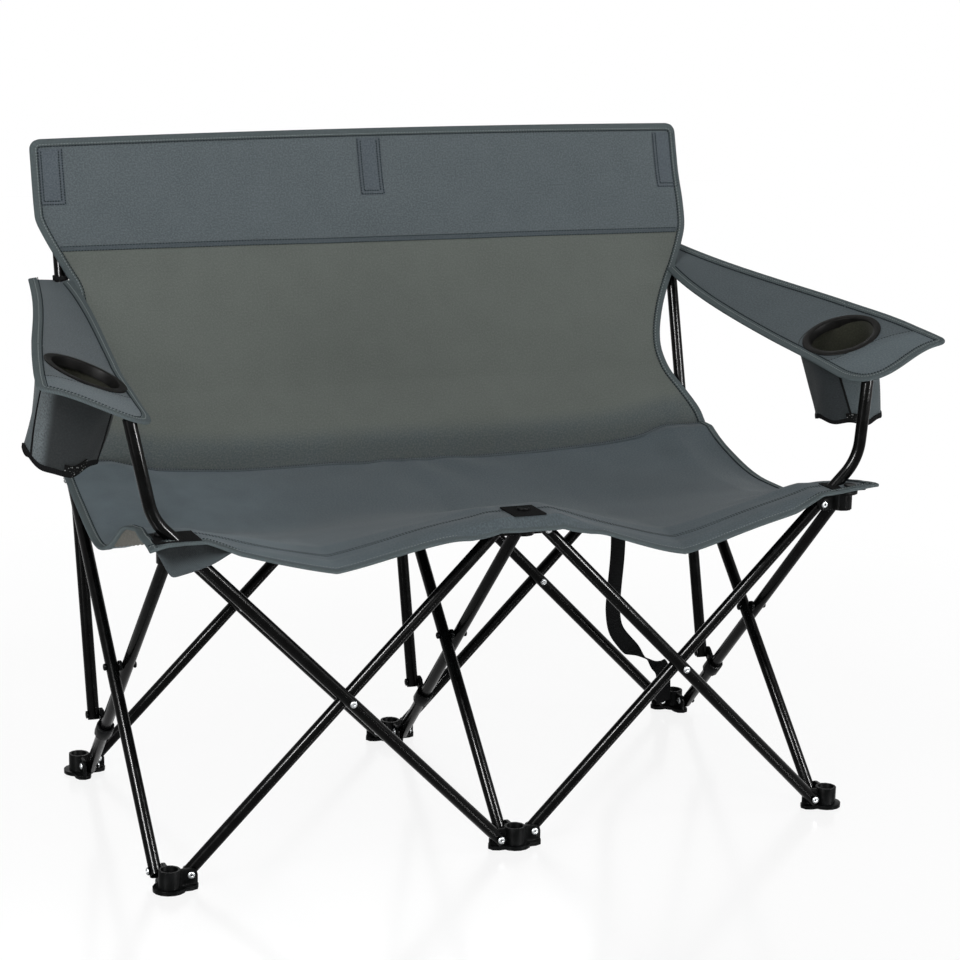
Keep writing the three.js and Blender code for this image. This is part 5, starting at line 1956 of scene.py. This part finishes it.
@dataclass
class CupPocket:
    """The cloth pocket under a ring: its wall, dark seams, black binding and net foot."""

    layout: Layout
    shop: Workshop
    side: Side
    ring: Array
    up: Array
    rim_r: float = 53.0
    foot_r: float = 44.0
    depth: float = 112.0
    lean: float = 24.0
    aside: float = -8.0
    under: float = 1.6
    thick: float = 1.6
    belly: float = 3.0
    ripple: float = 1.2
    wave: float = 2.2
    sag: float = 3.5
    net_thick: float = 1.0
    net_share: float = 0.985
    net_up: Pair = (0.88, 1.01)
    net_slant: float = 0.04
    net_off_wall: Pair = (0.2, 2.4)
    tape: tuple[Pair, ...] = ((-2.4, -2.0), (1.2, -2.0), (1.7, 0), (1.1, 4.5), (0.2, 5), (-2.4, 4))
    piping: tuple[Pair, ...] = ((-1.6, -0.4), (-1.1, 0.9), (0, 1.3), (1.1, 0.9), (1.6, -0.4))

    @property
    def cut(self) -> PocketCut:
        """How this side's pocket is cut."""
        return POCKETS[self.side]

    @property
    def node(self) -> str:
        """The frame's node that the pocket stands for."""
        return f"cup_pocket_{self.side.word}"

    @property
    def body(self) -> str:
        """The body that the pocket moves with."""
        return f"hub_f{self.side.letter}"

    @property
    def middle(self) -> Array:
        """The middle of the rim, in the layout."""
        return self.ring + np.array([self.aside, 0.0, 0.0])

    @property
    def foot(self) -> Array:
        """The middle of the foot, in the layout."""
        return self.middle + np.array([self.side.value * self.lean, 0.0, -self.depth])

    def wall(self, u: Array, v: Array) -> Array:
        """Points of the wall.

        Args:
            u: Places round it, from 0 to 1.
            v: Places from the rim down, from 0 to 1.

        Returns:
            The points in metres.
        """
        a = u * math.tau
        out = np.stack([np.cos(a), np.sin(a), 0 * a], -1)
        ax = unit(np.cross(np.array([0.0, 1.0, 0.0]), self.up))
        ay = np.cross(self.up, ax)
        rim = self.middle - self.up * self.under + self.rim_r * (out[..., :1] * ax + out[..., 1:2] * ay)
        aside = np.cos(a) * self.side.value
        lift = self.cut.lift_out * share(aside) ** 3.5 + self.cut.lift_in * share(-aside) ** 1.5
        lift = lift + self.wave * np.sin(6 * a + 1)
        low = self.foot + self.foot_r * out + np.stack([0 * a, 0 * a, lift], -1)
        belly = self.belly * np.sin(math.pi * share(v)) * np.cos(3 * a + 0.6)
        belly = (belly + self.ripple * np.sin(5 * a + 4 * v)) * share(4 * v)
        return self.layout.world(rim + (low - rim) * v[..., None] + out * belly[..., None])

    def off_axis(self, points: Array, down: Array | float) -> Array:
        """The level ways from the pocket's axis to points, each at a share of the way down it."""
        head, foot = self.layout.world(self.middle), self.layout.world(self.foot)
        return (points - (head * (1 - down) + foot * down)) * np.array([1.0, 1.0, 0.0])

    def build(self) -> None:
        """Sews the wall, its trim and its foot."""
        u, v = np.meshgrid(np.linspace(0, 1, 97), np.linspace(0, 1, 26), indexing="ij")
        grid = self.wall(u, v)
        normal = unit(self.off_axis(grid, v[..., None]))
        cloth = self.sew_wall(grid, normal)
        self.bind(grid[:, -1], normal[:, -1])
        self.net(grid[:, -1])

    def sew_wall(self, grid: Array, normal: Array) -> Thing:
        """The cloth wall, with its pale panel and its lining.

        Args:
            grid: The wall's points, by place round it and down it.
            normal: The ways out at them.

        Returns:
            The wall.
        """
        draft, cut = Draft(), self.cut
        draft.slab(grid, normal, -self.thick, 0.0)
        cloth = draft.build(f"{self.node}_cloth")
        self.close_round(cloth)
        # The first cloth is darkened as painted shade, the left one with painted light graded in at its left;
        # the pale panel keeps the plainer slate, and the inside takes the olive lining.
        self.shop.dress(cloth, cut.cloth, POCKET_SLATE, POCKET_OLIVE)
        rim_z = self.layout.world(self.middle)[2]
        for face in cloth.data.polygons:
            down = share((rim_z - face.center.z) / (self.depth * MM))
            away = self.off_axis(np.array(face.center), down)
            turn = math.degrees(math.atan2(away[1], away[0]))
            inside = away[0] * face.normal.x + away[1] * face.normal.y < 0
            past = (turn - cut.slant * down - cut.pale[0]) % 360
            face.material_index = 2 if inside else int(past < cut.pale[1] - cut.pale[0])
        return self.shop.hang(cloth, self.body, "slate_cloth", [self.node])

    def bind(self, low: Array, out: Array) -> None:
        """The black binding round the foot, and the piping of the seams.

        Args:
            low: The wall's lower edge.
            out: The ways out at it.
        """
        trim = Draft()
        trim.sweep(low, out, np.broadcast_to(UP, low.shape), self.tape)
        down = np.linspace(0.01, 0.97, 40)
        for turn in self.cut.seams:
            line = np.stack([(turn + self.cut.slant * down) % 360 / 360, down], 1)
            path, side, _ = Panel(self.wall, (0.0, -1.0, 0.0)).line(line)
            trim.sweep(path, side, unit(self.off_axis(path, 0.5)), self.piping)
        bound = trim.build(f"{self.node}_binding")
        self.shop.dress(bound, BLACK_TAPE)
        self.shop.hang(bound, self.body, "black_webbing")

    def net(self, low: Array) -> None:
        """The net foot, and the part of it that is drawn up on the wall.

        Args:
            low: The wall's lower edge.
        """
        foot = self.layout.world(self.foot)
        rings = np.linspace(0.02, 1.0, 9)
        disc = foot + (low - foot)[None] * rings[:, None, None] * self.net_share
        disc[..., 2] -= (self.sag * (1 - rings**2) * MM)[:, None]
        base = Draft()
        base.slab(disc, np.broadcast_to(UP, disc.shape), -self.net_thick, 0.0)
        round_foot, up_wall = np.linspace(*self.cut.net, 12) / 360, np.linspace(*self.net_up, 6)
        u, v = np.meshgrid(round_foot, up_wall, indexing="ij")
        patch = self.wall(u + (v - 1) * self.net_slant, v)
        base.slab(patch, unit(self.off_axis(patch, 1.0)), *self.net_off_wall)
        net = base.build(f"{self.node}_net")
        self.close_round(net)
        self.shop.dress(net, NET)
        self.shop.hang(net, self.body, "black_webbing")

    def close_round(self, piece: Thing) -> None:
        """Welds the two ends of a wall that runs all the way round."""
        edit(piece, whole=True)
        bpy.ops.mesh.remove_doubles(threshold=2e-5)
        leave()


@dataclass
class Armrest:
    """One cloth armrest with its binding, ring and webbing loop, and the cup pocket under it."""

    layout: Layout
    shop: Workshop
    side: Side
    top_z: float = 583.0
    rear_z: float = 677.0
    rear_in: float = 11.0
    rear_ahead: float = 13.0
    rear_out: float = 35.0
    rear_behind: float = 36.0
    rear_half: float = 6.0
    rear_skew: Pair = (7.0, 9.0)
    front_in: float = 12.0
    front_behind: float = 26.0
    front_wide: float = 140.0
    front_ahead: float = 30.0
    tilt: float = 47.0
    bulge: float = 70.0
    ring_back: float = 129.0
    ring_share: float = 0.48
    ring_r: float = 54.0
    bore_r: float = 44.0
    collar: float = 9.0
    split_y: float = -34.0
    swing: tuple[Point, Point] = ((500.0, -152.0, 600.0), (500.0, -232.0, 600.0))
    keep: float = 0.16
    corner: Pair = (0.12, 0.035)
    from_loop: Point = (-17.0, -145.0, -33.0)
    to_post: Point = (-5.0, 155.0, 19.0)
    from_back: Point = (27.0, -217.0, -26.0)
    to_tip: Point = (-20.0, 197.0, 29.0)
    from_post: Point = (28.0, 0.0, 2.0)
    to_corner: Point = (-43.0, 30.0, -3.0)
    flat_past: float = 8.0
    flat_ease: float = 40.0
    layer_ends: Pair = (0.06, 0.94)
    layer_seam: Point = (0.862, 0.05, 0.03)
    layer_tip: float = 0.985
    loop_up: float = 4.0
    loop_gap: float = 1.6
    loop_tape: tuple[Pair, ...] = ((-0.9, -3), (0.6, -3), (0.9, -2.4), (0.9, 2.4), (0.6, 3), (-0.9, 3))
    left_inner: float = 9.0
    left_outer: Pair = (6.0, -7.0)

    def point(self, x: float, y: float, z: float) -> Array:
        """A point of this side, given as for the right-hand one."""
        return np.array([self.side.value * x, y, z])

    def edges(self) -> tuple[Array, Array, Array]:
        """The inner, outer and front edges as cubic curves.

        Returns:
            Each edge's ends and handles.
        """
        lay = self.layout
        less, more = (self.rear_half + skew * self.side.value for skew in self.rear_skew)
        low, high = self.rear_z - less, self.rear_z + more
        inner_rear = self.point(lay.pitch - self.rear_in, lay.upright_y(low) - self.rear_ahead, low)
        outer_rear = self.point(lay.pitch + self.rear_out, lay.upright_y(high) + self.rear_behind, high)
        inner_front = self.point(lay.pitch + self.front_in, self.front_behind - lay.row, self.top_z + 1)
        outer_front = inner_front + self.point(self.front_wide, -self.front_ahead, self.tilt)
        post_y = -lay.row + self.side.value * lay.layer
        left = self.side is Side.LEFT
        aside = self.point(self.left_inner * left, 0, 0)
        from_loop = inner_rear + self.point(*self.from_loop) + aside
        inner = (inner_rear, from_loop, inner_front + self.point(*self.to_post) + aside, inner_front)
        behind, ahead = (self.point(out * left, 0, 0) for out in self.left_outer)
        from_back = outer_rear + self.point(*self.from_back) + behind
        outer = (outer_rear, from_back, outer_front + self.point(*self.to_tip) + ahead, outer_front)
        bulge = inner_front + self.point(*self.from_post)
        bulge[1] = post_y - self.bulge
        front = (inner_front, bulge, outer_front + self.point(*self.to_corner), outer_front)
        return np.array(inner), np.array(outer), np.array(front)

    def plain(self, u: Array, v: Array) -> Array:
        """Points of the cloth before it lies flat round the ring.

        Args:
            u: Places from the inner edge to the outer one.
            v: Places from the rear end to the front edge.

        Returns:
            The points, in the layout.
        """
        inner, outer, front = self.edges()
        u, v = self.rounded_off(u, v)
        a, b = bezier(inner, v), bezier(outer, v)
        ruled = a + (b - a) * u[..., None]
        ahead = bezier(front, u) - (front[0] + (front[3] - front[0]) * u[..., None])
        return ruled + ahead * (share(v) ** 6)[..., None]

    def rounded_off(self, u: Array, v: Array) -> tuple[Array, Array]:
        """Rounds the two front corners, by drawing their squares in to quarter discs.

        Args:
            u: Places from the inner edge to the outer one.
            v: Places from the rear end to the front edge.

        Returns:
            The two places as they lie on the cloth.
        """
        wide, deep = self.corner
        from_mid = 2 * u - 1
        a = np.maximum(0, (np.abs(from_mid) - 1 + 2 * wide) / (2 * wide))
        b = np.maximum(0, (v - 1 + deep) / deep)
        less_u = a * (1 - np.sqrt(np.maximum(0, 1 - b * b / 2))) * wide
        less_v = b * (1 - np.sqrt(np.maximum(0, 1 - a * a / 2))) * deep
        return u - np.sign(from_mid) * less_u, v - less_v

    def ring_place(self) -> tuple[Array, Array]:
        """The ring's middle and the direction that it faces, in the layout."""
        want = -self.layout.row + self.ring_back
        v = np.linspace(0.4, 1, 601)
        mid = self.plain(np.full_like(v, self.ring_share), v)
        k = int(np.argmin(np.abs(mid[:, 1] - want)))
        pair = self.plain(np.array([0.0, 1.0]), np.array([v[k], v[k]]))
        up = np.cross(unit(pair[1] - pair[0]), unit(mid[k + 12] - mid[k - 12]))
        up = unit(up)
        return mid[k], up if up[2] > 0 else -up

    def cloth_at(self, u: Array, v: Array) -> Array:
        """Points of the cloth, flat round the ring, in metres."""
        p = self.plain(u, v)
        middle, up = self.ring_place()
        off = p - middle
        high = off @ up
        away = np.sqrt(np.maximum(0, np.sum(off * off, -1) - high**2))
        flat = 1 - share((away - self.ring_r - self.flat_past) / self.flat_ease)
        return self.layout.world(p - up * (high * flat)[..., None])

    def share_at(self, y: float) -> float:
        """The share from rear to front at which the cloth's middle is so far back."""
        v = np.linspace(0, 1, 801)
        mid = self.plain(np.full_like(v, 0.5), v)
        return float(v[int(np.argmin(np.abs(mid[:, 1] - y)))])

    def build(self) -> None:
        """Makes the cloth in two pieces, its trim, ring, pocket and loop."""
        split = self.share_at(self.split_y)
        self.cloth(False, 0.0, split)
        self.cloth(True, split, 1.0)
        self.ring()
        CupPocket(self.layout, self.shop, self.side, *self.ring_place()).build()
        self.loop()

    def cloth(self, front: bool, start: float, end: float) -> None:
        """One piece of the cloth with its binding and stitches.

        Args:
            front: Whether it is the front piece, which has the ring's hole.
            start: Its rear end, as a share.
            end: Its front end, as a share.
        """
        name = f"armrest_{self.side.word}_{'front' if front else 'rear'}"
        panel = Panel(lambda u, v: self.cloth_at(u, start + (end - start) * v), (0.0, 0.0, 1.0))
        us, vs = np.linspace(0, 1, 48), np.linspace(0, 1, 64)
        cloth, grid = panel.cut_out(f"{name}_cloth", us, vs, self.layout.cloth)
        if front:
            self.cut_hole(cloth)
        # The armrest canvas is a darker copy of the slate: painted shade.
        self.shop.dress(cloth, ARM_SLATE_PAINTED_SHADE)
        trim, thread = Draft(), Draft()
        first, last = (0, 1) if front else (1, 0)
        edges = [np.linspace((0, first), (0, last), 160), np.linspace((1, last), (1, first), 160)]
        if front:
            across = np.linspace((0, 1), (1, 1), 160)[1:-1]
            edges = [np.concatenate([edges[0], across, edges[1]])]
        for edge in edges:
            WIDE_BINDING.sew(panel.line(edge, np.array([0.5, 0.5]), 2.5), trim, thread)
        if front:
            self.front_layer(panel, start, trim, thread)
        bound, sewn = self.shop.trimmed(name, trim, thread, BINDING, TIP_SLATE_PAINTED_LIGHT)
        body = f"hub_f{self.side.letter}"
        if front:
            rear, tip = (tuple(self.layout.world(self.point(*end))) for end in self.swing)
            for piece in (cloth, bound, sewn):
                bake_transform(piece)
                self.shop.name_it(piece, "slate_cloth")
        else:
            anchor = tuple(self.layout.world(self.point(0, self.split_y, 0)))
            for piece in (cloth, bound, sewn):
                self.shop.hang(piece, body, "slate_cloth")
                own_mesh(piece)
        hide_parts(f"armrest_{self.side.word}")
        LOG.info("%s made", name)

    def front_layer(self, panel: Panel, start: float, trim: Draft, thread: Draft) -> None:
        """The doubled cloth ahead of the ring, and the seam along its rear edge.

        Args:
            panel: The front piece's surface.
            start: The front piece's rear end, as a share of the whole.
            trim: Takes the cloth, in its second slot.
            thread: Takes the seam.
        """
        across = np.linspace(*self.layer_ends, 50)
        inner, skew, arch = self.layer_seam
        seam = (inner + skew * across - arch * np.sin(math.pi * across) - start) / (1 - start)
        u, t = np.meshgrid(across, np.linspace(0, 1, 14), indexing="ij")
        v = seam[:, None] + (self.layer_tip - seam[:, None]) * t
        # The doubled layer takes the lighter tip canvas, graded in from the seam: painted light.
        trim.slab(panel.at(u, v), panel.normal(u, v), 0.9, 1.8, 1)
        thread.stitches(*panel.line(np.stack([across, seam], 1)), TIP_SEAM)

    def cut_hole(self, cloth: Thing) -> None:
        """Cuts the ring's hole out of the cloth.

        Args:
            cloth: The front piece.
        """
        middle, up = self.ring_place()
        cutter = cylinder(self.bore_r + 2.4, 40, 64)
        cutter.data.transform(turned(up, self.layout.world(middle)))
        modified(cloth, "BOOLEAN", operation="DIFFERENCE", solver="EXACT", object=cutter)
        bpy.data.objects.remove(cutter)
        rounded(cloth, 40.0)

    def ring(self) -> None:
        """Turns the moulded ring: a rounded lip over the cloth and a collar through it."""
        middle, up = self.ring_place()
        clear_selection()
        bpy.ops.mesh.primitive_circle_add(
            vertices=72, radius=self.bore_r * MM, fill_type="NOTHING", location=(0, 0, -self.collar * MM)
        )
        ring = bpy.context.object
        bpy.ops.object.transform_apply(location=True)
        edit(ring, whole=True)
        profile = (
            (self.bore_r, 2.4), (self.bore_r + 0.3, 3.0), (self.bore_r + 0.9, 3.3), (self.ring_r - 1.3, 3.2),
            (self.ring_r - 0.4, 2.9), (self.ring_r, 2.3), (self.ring_r - 0.3, 1.5), (self.bore_r + 2, 1.5),
            (self.bore_r + 2, -self.collar),
        )
        r0, z0 = self.bore_r, -self.collar
        for r, z in profile:
            extrude((0, 0, (z - z0) * MM))
            bpy.ops.transform.resize(value=(r / r0, r / r0, 1.0), center_override=(0, 0, 0))
            r0, z0 = r, z
        bpy.ops.mesh.select_all(action="SELECT")
        bpy.ops.mesh.remove_doubles(threshold=1e-6)
        leave()
        edit(ring)
        bpy.ops.mesh.select_non_manifold()
        bpy.ops.mesh.bridge_edge_loops()
        bpy.ops.mesh.select_all(action="SELECT")
        bpy.ops.mesh.normals_make_consistent(inside=False)
        leave()
        made = placed_copy(ring, f"cup_ring_{self.side.word}_moulding", turned(up, self.layout.world(middle)))
        bpy.data.objects.remove(ring)
        rounded(made, 50.0)
        self.shop.dress(made, RING_ABS)
        self.shop.hang(made, f"hub_f{self.side.letter}", "cup_ring", [f"cup_ring_{self.side.word}"])

    def loop(self) -> None:
        """Winds the webbing loop that holds the rear end to the upright."""
        lay = self.layout
        z = self.rear_z + self.loop_up
        middle = self.point(lay.pitch, lay.upright_y(z), z)
        turn = np.linspace(0, math.tau, 41)
        out = np.stack([np.cos(turn), np.sin(turn), 0 * turn], 1)
        path = lay.world(middle + out * (lay.tube_r + self.loop_gap))
        slope = unit(np.array([0.0, lay.slope, 1.0]))
        draft = Draft()
        draft.sweep(path, out, np.broadcast_to(slope, out.shape), self.loop_tape)
        loop = draft.build(f"armrest_{self.side.word}_loop")
        self.shop.dress(loop, BLACK_TAPE)
        self.shop.hang(loop, f"upright_{self.side.letter}", "black_webbing")


@dataclass
class Patches:
    """Square patches with studs that hold the seat on the front hubs."""

    layout: Layout
    shop: Workshop
    wide: float = 44.0
    deep: float = 48.0
    low: float = 443.9
    thick: float = 2.2
    stud_r: float = 8.0
    stud_h: float = 3.6
    stud_up: float = 1.6
    stud_edge: float = 0.7
    dish_in: float = 2.2
    dish_deep: float = 0.6
    edge: float = 0.8
    offset: Pair = (7.0, 8.0)
    left_wide: float = 58.0

    def build(self) -> None:
        """Sews a patch to each front hub and sets its stud."""
        lay = self.layout
        for column in Column:
            x, y = column.value * lay.pitch, -lay.row
            clear_selection()
            bpy.ops.mesh.primitive_cube_add(size=1.0)
            patch = bpy.context.object
            wide = self.left_wide if column is Column.LEFT else self.wide
            size = Matrix.Diagonal((wide * MM, self.deep * MM, self.thick * MM, 1))
            at = Vector(lay.world((x + (wide - self.wide) / 2, y, self.low + self.thick / 2)))
            patch.data.transform(Matrix.Translation(at) @ size)
            modified(patch, "BEVEL", width=self.edge * MM, segments=3, limit_method="NONE")
            rounded(patch, 40.0)
            patch.name = f"patch_{column.word}_webbing"
            self.shop.dress(patch, BLACK_TAPE)
            self.shop.hang(patch, f"hub_f{column.letter}", "black_webbing", [f"patch_{column.word}"])
            stud = cylinder(self.stud_r, self.stud_h, 32)
            edit(stud, "FACE")
            pick(stud, lambda p: p.z > self.stud_h * 0.47 * MM, faces=True)
            bpy.ops.mesh.inset(thickness=self.dish_in * MM, depth=-self.dish_deep * MM)
            leave()
            aside, ahead = (column.value * step for step in self.offset)
            spot = (x + aside, y - ahead, self.low + self.thick + self.stud_up)
            stud.data.transform(Matrix.Translation(Vector(lay.world(spot))))
            width = self.stud_edge * MM
            modified(stud, "BEVEL", width=width, segments=3, limit_method="ANGLE", angle_limit=0.6)
            rounded(stud, 40.0)
            stud.name = f"patch_{column.word}_stud"
            self.shop.dress(stud, NYLON)
            self.shop.hang(stud, f"hub_f{column.letter}", "black_moulding")


def main() -> None:
    """Builds every sub-assembly in order."""
    logging.basicConfig(level=logging.INFO, format="%(message)s")
    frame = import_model()
    low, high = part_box("rivet_side_middle")
    layout = Layout(shift_y=(low.y + high.y) / 2 / MM)
    shop = Workshop()
    shape = SeatShape(layout)
    studio = Studio(layout)
    studio.set_camera()
    CarryStrap(layout, shop, shape).build()
    TubeFrame(layout, shop).build()
    Fittings(layout, shop, frame["nodes"]).build()
    Patches(layout, shop).build()
    Seat(layout, shop, shape).build()
    Back(layout, shop, shape).build()
    for side in Side:
        Armrest(layout, shop, side).build()
    studio.light()
    studio.background()
    studio.floor()


if __name__ == "__main__":
    main()
